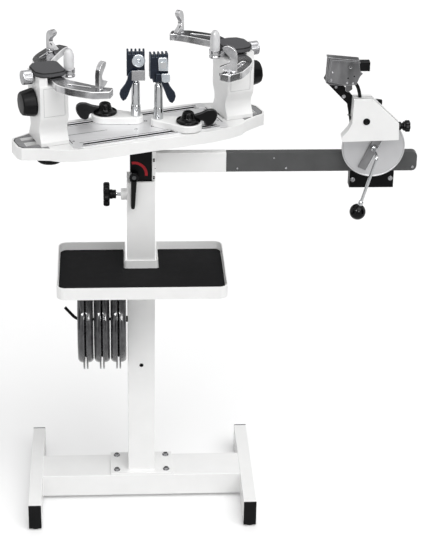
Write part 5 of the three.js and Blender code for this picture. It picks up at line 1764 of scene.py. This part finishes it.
@dataclass
class TowerSide:
    """One tower with its pad, nose, knobs, arms and hooks.

    Attributes:
        hook_places: Shares along and across the arm, front and rear.
        hook_heights: Hook heights, front and rear.
        hook_turns: Hook turns in degrees, front and rear.
        seam_reach: Near and far face of the seam.
        pad: Underside and top of the pad.
        pad_size: Length and half width of the pad.
    """

    label: str
    distance: float
    nose_inset: float
    knob_outset: float
    hook_places: tuple
    hook_heights: tuple
    hook_turns: tuple
    half: float = 35.0
    top: float = 1209.0
    face: float = 46.0
    panel: tuple = (-27.0, 26.0, 1131.0, 1203.0)
    panel_reach: tuple = (0.9, 2.0)
    seam: tuple = (-26.8, 25.8, 1131.2, 1202.8)
    seam_reach: tuple = (45.0, 45.35)
    seam_width: float = 0.9
    hole: tuple = ((0, -3), (5.4, -3), (5.4, 0.5), (3.9, 0.5), (3.5, -1.5), (0, -1.5))
    hole_drop: float = 48.0
    pad: tuple = (1228.0, 1240.0)
    pad_start: tuple = (-35.5, 0.0)
    pad_size: tuple = (74.5, 45.0)
    pad_shares: tuple = ((0, 0.67), (0.11, 0.91), (0.55, 1.0), (0.82, 0.89), (0.99, 0.49))
    pad_rounding: tuple = (3.0, 3.0, 5.0, 4.0, 3.0)
    nose: tuple = (12.5, 1229.0, 1253.0, 26.4)
    nose_power: float = 0.8
    base: tuple = (
        (0, 1209.6), (14.4, 1209.6), (14.4, 1214.0), (13.2, 1215.5), (13.2, 1218.0), (14.4, 1219.5),
        (14.4, 1229.4), (0, 1229.4),
    )
    slider: tuple = (-2.2, 7.4, 1209.6, 1227.3)
    place: Place = field(init=False)

    def __post_init__(self) -> None:
        """Work out the tower's place on the turntable."""
        side = -1 if self.label == "left" else 1
        self.place = TABLE.inner(side * self.distance, 0.0, 0.0, side)

    def build(self) -> None:
        """Make the side's pieces."""
        self.build_tower()
        self.build_pad()
        self.build_nose()
        HoldKnob(self.label, self.half, self.top, self.place).build()
        ArmKnob(self.label, self.half, self.top, self.knob_outset, self.place).build()
        for index, (corner, end) in enumerate((("front", -1), ("rear", 1))):
            arm = ShoulderArm(f"{self.label}_{corner}", end, self.place)
            arm.build()
            x, y = arm.point(*self.hook_places[index])
            place = self.place.inner(x, y, self.hook_turns[index])
            ClawHook(f"{self.label}_{corner}", self.hook_heights[index], place).build()

    def build_tower(self) -> None:
        """Make the tower with its shallow side panels, grey seams of painted shade round them, and a dark
        ring of painted shade in the hole in its inner face.
        """
        name = f"tower_{self.label}"
        tower = soften_node(name, WHITE_PAINT, 2.4, 3)
        left, right, low, high = self.panel
        deep, out = self.panel_reach
        panels = [
            slab((left, right), sorted((end * (self.face - deep), end * (self.face + out))), (low, high))
            for end in (-1, 1)
        ]
        cut_piece(tower, panels, self.place)
        add_piece(f"{name}_seams", self.seams(), f"{name}_body", PANEL_SEAM_SHADE, self.place)
        ring = spun(self.hole, 0.2, (-self.half, 0.0, self.top - self.hole_drop), LEFT, steps=24, strips=2)
        add_piece(f"{name}_hole", [ring], f"{name}_body", SHADOW_GAP, self.place)

    def seams(self) -> list:
        """Draw the four strips of painted seam shade round each side panel.

        Returns:
            The strips of both panels.
        """
        left, right, low, high = self.seam
        width = self.seam_width
        strips = []
        for end in (-1, 1):
            depth = sorted(end * face for face in self.seam_reach)
            strips += [slab((left, right), depth, (start, start + width)) for start in (low, high - width)]
            strips += [slab((start, start + width), depth, (low, high)) for start in (left, right - width)]
        return strips

    def build_pad(self) -> None:
        """Make the soft-edged racket pad."""
        half = shares(self.pad_shares, self.pad_start, *self.pad_size)
        reach = np.array(self.pad_rounding + self.pad_rounding[::-1])
        pad = prism(rounded(np.vstack((half, half[::-1] * (1, -1))), reach, 6), *self.pad)
        name = f"racket_pad_{self.label}"
        add_piece(
            f"{name}_soft", [pad], f"tower_{self.label}_body", PAD_RUBBER, self.place,
            edge=2.3, stands_for=(name,), segments=4,
        )

    def build_nose(self) -> None:
        """Make the hold-down: pale bullet nose, metal base and the slider behind it.

        The dome's radius is the nose's radius times a power of the cosine, and its height follows the sine.
        """
        name, body = f"hold_down_{self.label}", f"hold_down_{self.label}_body"
        centre = (-self.nose_inset, 0.0, 0.0)
        radius, low, shoulder, dome = self.nose
        angle = np.linspace(0.0, np.pi / 2, 13)
        curve = np.column_stack((radius * np.cos(angle) ** self.nose_power, shoulder + dome * np.sin(angle)))
        profile = np.vstack(([(0, low), (radius, low)], curve))
        profile[-1, 0] = 0.0
        add_piece(f"{name}_nose", [turned(profile, centre, UP, 48)], body, NOSE_PLASTIC, self.place)
        end, half, low, high = self.slider
        shapes = [spun(self.base, 0.7, centre, UP), slab((-self.nose_inset, end), (-half, half), (low, high))]
        add_piece(f"{name}_base", shapes, body, CAST_METAL, self.place, edge=0.8, stands_for=(name,))


@dataclass
class HoldKnob:
    """The ribbed silver knob of a hold-down, drawn in its tower's place."""

    label: str
    half: float
    top: float
    place: Place
    rise: float = 12.0
    gap: float = 4.6
    grip: tuple = (2.5, 21.5)
    ribs: tuple = (16.6, 0.4, 28)
    rim: tuple = (16.9, 3.2, 0.9)
    rim_starts: tuple = (0.0, 20.8)
    dimple: tuple = ((0, 0), (11.0, 0), (11.0, 0.8), (9.4, 0.8), (9.0, 0.2), (0, 0.2))
    dimple_start: float = 23.4
    neck: tuple = (6.3, 0.5, 5.0, 0.4)
    shank: tuple = (4.3, -20.0, 57.0, 0.4)

    def build(self) -> None:
        """Make the knob, its neck and its shank: the ribs' radius swings with the cosine round the knob."""
        name, body = f"hold_knob_{self.label}", f"hold_knob_{self.label}_body"
        start = self.half + self.gap
        height = self.top + self.rise
        radius, rib, count = self.ribs
        angle = np.linspace(0.0, 2 * np.pi, 144, endpoint=False)
        ribbed = radius + rib * np.cos(angle * count)
        ring = np.column_stack((ribbed * np.cos(angle), ribbed * np.sin(angle) + height))
        grip = prism(ring, *(start + shift for shift in self.grip), Axis.X)
        radius, length, rounding = self.rim
        rims = [
            knob_disc(radius, (start + shift, 0, height), RIGHT, length, rounding, 64)
            for shift in self.rim_starts
        ]
        dimple = spun(self.dimple, 0.3, (start + self.dimple_start, 0, height), RIGHT, strips=3)
        shapes = [grip, *rims, dimple]
        add_piece(f"{name}_grip", shapes, body, TURNED_STEEL, self.place, stands_for=(name,))
        # Painted shade: the neck between the knob and the tower, and the shank, are dark.
        radius, shift, length, rounding = self.neck
        neck = knob_disc(radius, (self.half + shift, 0, height), RIGHT, length, rounding, 32)
        radius, shift, length, rounding = self.shank
        shank = knob_disc(radius, (shift, 0, height), RIGHT, length, rounding, 20)
        add_piece(f"{name}_neck", [neck, shank], body, SHADOW_GAP, self.place)


@dataclass
class ArmKnob:
    """The large black side knob of a tower.

    Attributes:
        profile: Radius and distance outwards of its side.
    """

    label: str
    half: float
    top: float
    outset: float
    place: Place
    drop: float = 52.0
    profile: tuple = ((0, 0.2), (33.6, 0.2), (34.4, 3.5), (28.6, 30.5), (25.6, 33), (0, 33))
    rounding: float = 1.6
    facets: tuple = (0.012, 10)
    points: int = 96
    collar: tuple = (12.0, 0.4, 1.0, 0.2)

    def build(self) -> None:
        """Make the faceted knob and its collar: each ring's radius dips a little with the cosine."""
        back = self.half + self.outset
        height = self.top - self.drop
        depth, count = self.facets
        angle = np.linspace(0.0, 2 * np.pi, self.points, endpoint=False)
        facet = 1.0 - depth * (1 - np.cos(angle * count))
        rings = [
            np.column_stack((
                np.full(self.points, back + along),
                radius * facet * np.cos(angle),
                height + radius * facet * np.sin(angle),
            ))
            for radius, along in rounded_profile(self.profile, self.rounding)
        ]
        grip = np.vstack(rings), grid_faces(len(rings), self.points)
        radius, start, inset, rounding = self.collar
        collar = knob_disc(radius, (self.half + start, 0, height), RIGHT, self.outset + inset, rounding, 40)
        name, body = f"arm_knob_{self.label}", f"arm_knob_{self.label}_body"
        add_piece(f"{name}_grip", [grip, collar], body, BLACK_PLASTIC, self.place, stands_for=(name,))


@dataclass
class ShoulderArm:
    """One shoulder arm with its long recess and its pivot cap.

    Attributes:
        corner: Where the shares start, along X and away from the tower's middle.
        size: Length along X and away from the tower's middle.
        recess: Half width of the recess and corner rounding.
        floor: Share of the recess that its floor fills, and the rounding of the floor's corners.
        floor_level: Underside and top of the floor over the arm's underside.
    """

    name: str
    end: int
    place: Place
    level: tuple = (1209.5, 1227.5)
    corner: tuple = (-108.0, 20.0)
    size: tuple = (118.0, 158.0)
    outline_shares: tuple = (
        (0.93, 0), (0.98, 0.13), (1, 0.41), (0.92, 0.56), (0.8, 0.69), (0.58, 0.85), (0.46, 0.93), (0.14, 1),
        (0, 0.86), (0.13, 0.8), (0.3, 0.66), (0.5, 0.46), (0.68, 0.28), (0.72, 0.15), (0.72, 0),
    )
    rounding: tuple = (2.0, 8.0, 14.0, 12.0, 12.0, 12.0, 8.0, 4.0, 4.0, 8.0, 12.0, 14.0, 10.0, 6.0, 2.0)
    recess_shares: tuple = ((0.77, 0.5), (0.43, 0.74))
    recess: tuple = (5.2, 5.0)
    recess_level: tuple = (9.0, 3.0)
    floor: tuple = (0.82, 4.0)
    floor_level: tuple = (8.8, 9.3)
    pin: tuple = ((0, -2), (7.4, -2), (7.4, 0.2), (0, 0.4))
    pin_place: tuple = (-8.0, 30.0)

    def point(self, along: float, across: float) -> Points:
        """Find a point on the arm from its shares.

        Args:
            along: Share along the arm's outline, outwards.
            across: Share away from the tower's middle.

        Returns:
            Local X and Y.
        """
        x, y = shares((along, across), self.corner, *self.size)
        return np.array((x, self.end * y))

    def strip(self, fill: float, rounding: float) -> Points:
        """Draw the outline of the recess, or of what fills a share of its width.

        Args:
            fill: Share of its width.
            rounding: How far from its corners their curve starts.

        Returns:
            The outline.
        """
        start, stop = (self.point(*share) for share in self.recess_shares)
        way = unit(stop - start)
        square = np.array((-way[1], way[0])) * self.recess[0] * fill
        return rounded(np.array([start - square, start + square, stop + square, stop - square]), rounding, 6)

    def build(self) -> None:
        """Make the arm, a darker floor of painted shade in its recess, and its pivot cap."""
        body = f"arm_{self.name}"
        low, high = self.level
        corners = np.array([self.point(*share) for share in self.outline_shares])
        casting = prism(rounded(corners, np.array(self.rounding), 6), low, high)
        node = f"shoulder_arm_{self.name}"
        arm = add_piece(f"{node}_cast", [casting], body, CAST_METAL, self.place, stands_for=(node,))
        deep, over = self.recess_level
        cut_piece(arm, [prism(self.strip(1.0, self.recess[1]), low + deep, high + over)], self.place)
        round_edges(arm, 1.5, 3)
        for modifier in arm.modifiers:
            modifier.material = 1
        # Painted shade: a darker floor laid in the recess.
        floor = prism(self.strip(*self.floor), *(low + rise for rise in self.floor_level))
        add_piece(f"arm_recess_{self.name}", [floor], body, STRAP_GREY, self.place)
        x, y = self.pin_place
        pin = spun(self.pin, 0.2, (x, self.end * y, high), UP, steps=32, strips=3)
        add_piece(f"arm_pin_{self.name}", [pin], body, TURNED_STEEL, self.place)


@dataclass
class ClawHook:
    """One claw hook with its round foot and the stem inside the arm."""

    name: str
    height: float
    place: Place
    base: float = 1227.8
    start: float = -9.0
    length: float = 42.0
    half: float = 5.5
    outline_shares: tuple = (
        (0, 0), (0.43, 0), (0.86, 0.1), (1, 0.17), (0.79, 0.24), (0.43, 0.33), (0.33, 0.44), (0.36, 0.54),
        (0.79, 0.81), (0.86, 0.92), (0.69, 1), (0.4, 0.98), (0.12, 0.84), (0, 0.62),
    )
    rounding: tuple = (1.0, 4.0, 3.0, 1.5, 3.0, 5.0, 5.0, 6.0, 4.0, 3.0, 4.0, 7.0, 9.0, 9.0)
    foot: tuple = ((0, 0), (9.4, 0), (9.4, 2.6), (7.6, 4.4), (0, 4.4))
    stem: tuple = ((0, -14.8), (4.0, -14.8), (4.0, 1.0), (0, 1.0))

    def build(self) -> None:
        """Make the hook."""
        corners = shares(self.outline_shares, (self.start, self.base), self.length, self.height)
        claw = prism(rounded(corners, np.array(self.rounding), 5), -self.half, self.half, Axis.Y)
        foot = spun(self.foot, 0.6, (0, 0, self.base), UP, steps=40)
        stem = spun(self.stem, 0.4, (0, 0, self.base), UP, steps=20)
        name = f"claw_hook_{self.name}"
        add_piece(
            f"{name}_cast", [claw, foot, stem], f"hook_{self.name}", CAST_METAL, self.place,
            edge=1.8, segments=3, stands_for=(name,),
        )


@dataclass
class LockKnob:
    """The round knob under the left tower.

    Attributes:
        profile: Radius and height of its side.
    """

    distance: float = -237.0
    height: float = 1004.0
    profile: tuple = ((0, -3.5), (28, -3.5), (32, 1), (32, 12.5), (29, 15), (12, 15), (12, 22.6), (0, 22.6))
    rounding: float = 1.4

    def build(self) -> None:
        """Make the knob."""
        place = TABLE.inner(self.distance, 0.0)
        body = spun(self.profile, self.rounding, (0, 0, self.height), UP, steps=72)
        add_piece("lock_knob_disc", [body], "lock_knob_body", BLACK_PLASTIC, place, stands_for=("lock_knob",))


# String clamps


@dataclass
class StringClamp:
    """One string clamp: slot nut, base with post, cam lever and head.

    Attributes:
        nut: X and Y of the slot nut on the turntable.
        base: Underside and top of the base.
        cam_size: Radius and height of the cam.
        fin_size: Length and height of the fin.
    """

    label: str
    nut: tuple
    turn: float
    cam_turn: float
    head_turn: float
    base: tuple = (1059.3, 1077.0)
    reach: float = 77.0
    ends: tuple = (33.9, 18.4)
    post: tuple = (
        (0, -1), (12.0, -1), (12.0, 26), (10.6, 30), (10.4, 84), (9.2, 87), (7.0, 88), (6.8, 90.5),
        (8.2, 91.5), (8.2, 94), (6.9, 95), (6.9, 97), (0, 97),
    )
    cam_gap: float = 0.3
    cam_size: tuple = (30.0, 28.0)
    cam_shares: tuple = (
        (0, 0), (0.98, 0), (1, 0.14), (0.95, 0.24), (0.7, 0.3), (0.57, 0.43), (0.46, 0.86), (0.32, 0.98),
        (0.26, 0.94), (0, 0.94),
    )
    cam_rounding: float = 1.8
    fin_drop: float = 16.0
    fin_size: tuple = (73.0, 46.0)
    fin_shares: tuple = (
        (0.14, 0.72), (0.14, 0.42), (0.42, 0.4), (0.53, 0.34), (0.57, 0.08), (0.68, 0), (0.84, 0.12),
        (0.96, 0.4), (1, 0.64), (0.97, 0.88), (0.84, 1), (0.64, 0.98), (0.45, 0.84),
    )
    fin_rounding: float = 4.0
    fin_half: float = 4.5

    def build(self) -> None:
        """Make the clamp's pieces."""
        swing = TABLE.inner(*self.nut, self.turn)
        self.build_base(swing)
        self.build_cam(TABLE.inner(*self.nut, self.cam_turn))
        head = swing.inner(self.reach, 0.0, self.head_turn - self.turn)
        soften_node(f"clamp_head_{self.label}", NAVY_COAT, 1.2)
        soften_node(f"jaw_lever_{self.label}", NAVY_COAT, 2.2, 3)
        if self.label == "left":
            DialSide(head).build()
        else:
            LeverSide(head).build()

    def build_base(self, place: Place) -> None:
        """Make the nut, the white base and the chrome post.

        The base is the outline round two circles: it leaves each where its radius leans by the angle whose
        cosine is the difference of the radii over their distance.

        Args:
            place: Where the base is drawn.
        """
        soften_node(f"slot_nut_{self.label}", TURNED_STEEL, 0.6)
        large, small = self.ends
        lean = np.arccos((large - small) / self.reach)
        wide = np.linspace(lean, 2 * np.pi - lean, 48)
        narrow = np.linspace(-lean, lean, 24)
        outline = np.vstack((
            np.column_stack((np.cos(wide), np.sin(wide))) * large,
            np.column_stack((np.cos(narrow), np.sin(narrow))) * small + (self.reach, 0.0),
        ))
        name, body = f"clamp_base_{self.label}", f"clamp_base_{self.label}_body"
        casting = prism(outline, *self.base)
        add_piece(
            f"{name}_cast", [casting], body, WHITE_PAINT, place, edge=2.4, segments=4, stands_for=(name,)
        )
        post = spun(self.post, 0.7, (self.reach, 0, self.base[1]), UP, steps=56, strips=3)
        add_piece(f"clamp_post_{self.label}", [post], body, CHROME, place)

    def build_cam(self, place: Place) -> None:
        """Make the glossy cam with its dome and the upright fin.

        Args:
            place: Where the lever is drawn.
        """
        low = self.base[1] + self.cam_gap
        profile = shares(self.cam_shares, (0.0, low), *self.cam_size)
        dome = turned(rounded(profile, self.cam_rounding, 5, closed=False), (0, 0, 0), UP, 72)
        corners = shares(self.fin_shares, (0.0, low - self.fin_drop), *self.fin_size)
        fin = prism(rounded(corners, self.fin_rounding, 4), -self.fin_half, self.fin_half, Axis.Y)
        name, body = f"cam_lever_{self.label}", f"cam_lever_{self.label}_body"
        add_piece(
            f"{name}_fin", [dome, fin], body, GLOSS_BLACK, place, edge=2.6, segments=4, stands_for=(name,)
        )


@dataclass
class DialSide:
    """The dial and block on the left clamp's head.

    Attributes:
        block: Limits along X and Y.
        cheek: Limits along X and Y.
        rise: How far over the underside block and cheek start and end.
    """

    place: Place
    low: float = 1174.3
    dial: tuple = (
        (0, -0.5), (16.2, -0.5), (16.2, 2.6), (14.8, 3.4), (12.6, 2.6), (5.2, 2.6), (4.8, 3.8), (0, 3.8),
    )
    dial_place: tuple = (7.0, -12.0, 48.0)
    socket: tuple = (-15.6, 4.0, 1.4)
    block: tuple = ((-10.0, 22.5), (-22.8, -20.9))
    cheek: tuple = ((4.0, 22.5), (-21.0, -11.5))
    rise: tuple = (0.5, 26.0)

    def build(self) -> None:
        """Make the dial with its screw, and the block with its cheek."""
        x, y, rise = self.dial_place
        face = spun(self.dial, 0.5, (x, y, self.low + rise), TOWARDS, steps=56, strips=3)
        y, radius, height = self.socket
        socket = screw(x, y, self.low + rise, TOWARDS, radius, height)
        add_piece("clamp_dial_left", [face, *socket], "clamp_head_left_body", DIAL_SILVER, self.place)
        level = tuple(self.low + rise for rise in self.rise)
        shapes = [slab(*limits, level) for limits in (self.block, self.cheek)]
        add_piece("clamp_block_left", shapes, "clamp_head_left_body", TURNED_STEEL, self.place, edge=0.8)


@dataclass
class LeverSide:
    """The lever plate and clip on the right clamp's head.

    Attributes:
        plate_reach: Y of the lever plate's front and back.
        window_reach: Y of front and back.
        clip_reach: Y of front and back.
        cheek: Limits along X and Y.
        bridge: Limits along X and Y.
        rise: How far over the underside cheek and bridge start and end.
    """

    place: Place
    low: float = 1174.3
    plate: tuple = ((-1.5, 30), (21.5, 29), (19.5, 60), (17.0, 63), (-1.0, 63), (-3.5, 60))
    plate_reach: tuple = (-16.0, -11.5)
    window: tuple = ((2.5, 36), (17.0, 35), (15.5, 52), (1.5, 53))
    window_reach: tuple = (-16.5, -15.5)
    clip: tuple = ((4.0, 24.5), (5.0, 6), (12.0, 2), (24.0, 3.5), (25.5, 10), (24.5, 25))
    clip_reach: tuple = (-23.0, -20.9)
    cheek: tuple = ((-8.0, 0.5), (-21.0, -11.5))
    bridge: tuple = ((-8.0, 8.0), (-22.6, -20.9))
    rise: tuple = (6.0, 24.0)

    def flat(self, outline: tuple, rounding: float, reach: tuple) -> Shape:
        """Draw a flat part from its outline over the head's underside.

        Args:
            outline: The outline.
            rounding: How far from its corners their curve starts.
            reach: Y of its front and back.

        Returns:
            The closed shape.
        """
        return prism(rounded(np.array(outline) + (0.0, self.low), rounding, 5), *reach, Axis.Y)

    def build(self) -> None:
        """Make the lever plate, its window, and the clip with its cheek and bridge."""
        body = "clamp_head_right_body"
        plate = self.flat(self.plate, 2.5, self.plate_reach)
        add_piece("clamp_lever_plate_right", [plate], body, DIAL_SILVER, self.place, edge=1.0)
        window = self.flat(self.window, 2.0, self.window_reach)
        add_piece("clamp_lever_window_right", [window], body, CHROME, self.place, edge=0.3)
        clip = self.flat(self.clip, 2.5, self.clip_reach)
        add_piece("clamp_clip_right", [clip], body, DIAL_SILVER, self.place, edge=0.7)
        level = tuple(self.low + rise for rise in self.rise)
        shapes = [slab(*limits, level) for limits in (self.cheek, self.bridge)]
        add_piece("clamp_clip_cheek_right", shapes, body, NAVY_COAT, self.place, edge=0.6)


# Studio


@dataclass
class Studio:
    """Camera, lamps, white surround, pale floor and dark cards that only reflections see.

    Attributes:
        glints: Place, size and power of small lamps that only reflections see.
        aim: The point that lamps, glints and cards face.
        cards: Place, width and height of each dark card.
    """

    lens: float = 115.35
    sensor: float = 36.0
    eye: tuple = (-0.26604, -4.00091, 2.64836)
    forward: tuple = (0.05996, 0.89326, -0.44552)
    roll: float = 1.12
    lamps: tuple = (
        ("key_lamp", (0.3, -0.45, 0.84), 1.9, 50.0),
        ("fill_lamp", (-0.55, -0.6, 0.55), 0.25, 60.0),
    )
    glints: tuple = (((-1.1, -2.6, 3.1), 0.8, 70.0), ((0.9, -2.9, 2.2), 0.6, 26.0))
    aim: tuple = (-0.05, 0.0, 0.85)
    lamp_distance: float = 4.0
    ambient: float = 0.58
    surround: float = 1.0
    floor: float = 9.0
    cards: tuple = (
        ((-2.6, -1.4, 1.2), 1.6, 2.6), ((2.7, -1.0, 1.2), 1.6, 2.6), ((-1.1, -4.4, 1.3), 0.9, 2.6),
        ((1.2, -4.4, 1.3), 0.9, 2.6), ((0.0, 3.4, 1.3), 3.2, 2.6), ((-0.6, 0.4, 4.2), 0.8, 0.8),
    )

    def build(self) -> None:
        """Make the camera, lamps, surround, floor and cards."""
        self.add_camera()
        for name, direction, strength, size in self.lamps:
            self.add_lamp(name, direction, strength, size)
        for index, (place, size, power) in enumerate(self.glints):
            self.add_glint(f"glint_lamp_{index + 1}", place, size, power)
        self.add_world()
        self.add_floor()
        for index, (place, width, height) in enumerate(self.cards):
            self.add_card(f"dark_card_{index + 1}", place, width, height)
        settings = bpy.context.scene.view_settings
        settings.view_transform = "Standard"

    def add_camera(self) -> None:
        """Place the camera from its viewing direction and roll."""
        data = bpy.data.cameras.new("photo_camera")
        data.lens = self.lens
        data.sensor_width = self.sensor
        forward = unit(np.array(self.forward))
        level = unit(np.cross(forward, (0.0, 0.0, 1.0)))
        square = np.cross(level, forward)
        cos, sin = np.cos(np.radians(self.roll)), np.sin(np.radians(self.roll))
        right = cos * level + sin * square
        top = cos * square - sin * level
        matrix = np.eye(4)
        matrix[:3, 0], matrix[:3, 1], matrix[:3, 2], matrix[:3, 3] = right, top, -forward, self.eye
        camera = bpy.data.objects.new("photo_camera", data)
        camera.matrix_world = Matrix(matrix.tolist())
        bpy.context.scene.collection.objects.link(camera)
        bpy.context.scene.camera = camera

    def facing(self, place: tuple) -> Matrix:
        """Build a matrix at a place whose -Z looks at the aim."""
        back = unit(np.array(place) - np.array(self.aim))
        right = unit(np.cross((0.0, 0.0, 1.0), back))
        matrix = np.eye(4)
        matrix[:3, 0], matrix[:3, 1], matrix[:3, 2], matrix[:3, 3] = right, np.cross(back, right), back, place
        return Matrix(matrix.tolist())

    def add_lamp(self, name: str, direction: tuple, strength: float, size: float) -> None:
        """Add one broad distant lamp.

        Args:
            name: The lamp's name.
            direction: The way from the machine to the lamp.
            strength: Its strength in watts per square metre.
            size: Its angular size in degrees.
        """
        data = bpy.data.lights.new(name, "SUN")
        data.angle = np.radians(size)
        data.energy = strength
        lamp = bpy.data.objects.new(name, data)
        away = unit(np.array(direction)) * self.lamp_distance
        lamp.matrix_world = self.facing(tuple(np.array(self.aim) + away))
        bpy.context.scene.collection.objects.link(lamp)

    def add_glint(self, name: str, place: tuple, size: float, power: float) -> None:
        """Add one small lamp that lights nothing and only shows in polished surfaces.

        Args:
            name: The lamp's name.
            place: Its place in metres.
            size: Its side in metres.
            power: Its power in watts.
        """
        data = bpy.data.lights.new(name, "AREA")
        data.size = size
        data.energy = power
        lamp = bpy.data.objects.new(name, data)
        lamp.matrix_world = self.facing(place)
        bpy.context.scene.collection.objects.link(lamp)
        lamp.visible_diffuse = False
        lamp.visible_camera = False
        lamp.visible_transmission = False

    def add_world(self) -> None:
        """Give the surround a soft light, and white where it is seen or reflected."""
        world = bpy.data.worlds.new("white_surround")
        world.use_nodes = True
        world.node_tree.nodes.clear()
        wiring = Wiring(world.node_tree)
        rays = wiring.node("ShaderNodeLightPath")
        either = wiring.node("ShaderNodeMath", operation="ADD")
        wiring.join(rays.outputs["Is Camera Ray"], either.inputs[0])
        wiring.join(rays.outputs["Is Glossy Ray"], either.inputs[1])
        seen = wiring.node("ShaderNodeMath", operation="ADD", use_clamp=True)
        wiring.join(either.outputs[0], seen.inputs[0])
        wiring.join(rays.outputs["Is Transmission Ray"], seen.inputs[1])
        soft = wiring.node("ShaderNodeBackground")
        soft.inputs["Color"].default_value = (1.0, 1.0, 1.0, 1.0)
        soft.inputs["Strength"].default_value = self.ambient
        white = wiring.node("ShaderNodeBackground")
        white.inputs["Color"].default_value = (1.0, 1.0, 1.0, 1.0)
        white.inputs["Strength"].default_value = self.surround
        mix = wiring.node("ShaderNodeMixShader")
        wiring.join(seen.outputs[0], mix.inputs[0])
        wiring.join(soft.outputs[0], mix.inputs[1])
        wiring.join(white.outputs[0], mix.inputs[2])
        wiring.join(mix.outputs[0], wiring.node("ShaderNodeOutputWorld").inputs["Surface"])
        bpy.context.scene.world = world

    def add_floor(self) -> None:
        """Add the pale floor."""
        corners = box_outline((-self.floor, self.floor), (-self.floor, self.floor))
        mesh = bpy.data.meshes.new("pale_floor")
        mesh.from_pydata(np.column_stack((corners, np.zeros(4))).tolist(), [], [(0, 1, 2, 3)])
        floor = bpy.data.objects.new("pale_floor", mesh)
        floor.data.materials.append(FLOOR_WHITE.material())
        bpy.context.scene.collection.objects.link(floor)

    def add_card(self, name: str, place: tuple, width: float, height: float) -> None:
        """Add a dark card that only reflections see.

        Args:
            name: The card's name.
            place: Its place in metres.
            width: Its width in metres.
            height: Its height in metres.
        """
        mesh = bpy.data.meshes.new(name)
        matrix = np.array(self.facing(place))
        corners = np.column_stack((box_outline((-width, width), (-height, height)) / 2, np.zeros(4)))
        mesh.from_pydata((corners @ matrix[:3, :3].T + matrix[:3, 3]).tolist(), [], [(0, 1, 2, 3)])
        card = bpy.data.objects.new(name, mesh)
        card.data.materials.append(CARD_BLACK.material())
        bpy.context.scene.collection.objects.link(card)
        card.visible_camera = False
        card.visible_diffuse = False
        card.visible_shadow = False


# Assembly


def build_machine() -> None:
    """Make every sub-assembly of the machine."""
    Stand().build()
    StringCases().build()
    HeightKnob().build()
    Mast().build()
    BrakeLever().build()
    TensionHead().build()
    Crank().build()
    TensionCover().build()
    Gripper().build()
    Turntable().build()
    LockKnob().build()
    TowerSide("left", 237.0, 54.0, 1.0, ((0.3, 0.86), (0.42, 0.83)), (64.0, 54.0), (42.0, -78.0)).build()
    TowerSide("right", 247.0, 51.0, 2.0, ((0.3, 0.88), (0.25, 0.84)), (66.0, 64.0), (150.0, -135.0)).build()
    StringClamp("left", (-69.0, 65.0), -32.0, 166.0, -20.0).build()
    StringClamp("right", (99.0, -65.0), 139.0, -11.0, -14.0).build()


def main() -> None:
    """Dress the machine, light it and place the camera."""
    logging.basicConfig(level=logging.INFO, format="%(message)s")
    build_machine()
    Studio().build()


if __name__ == "__main__":
    main()
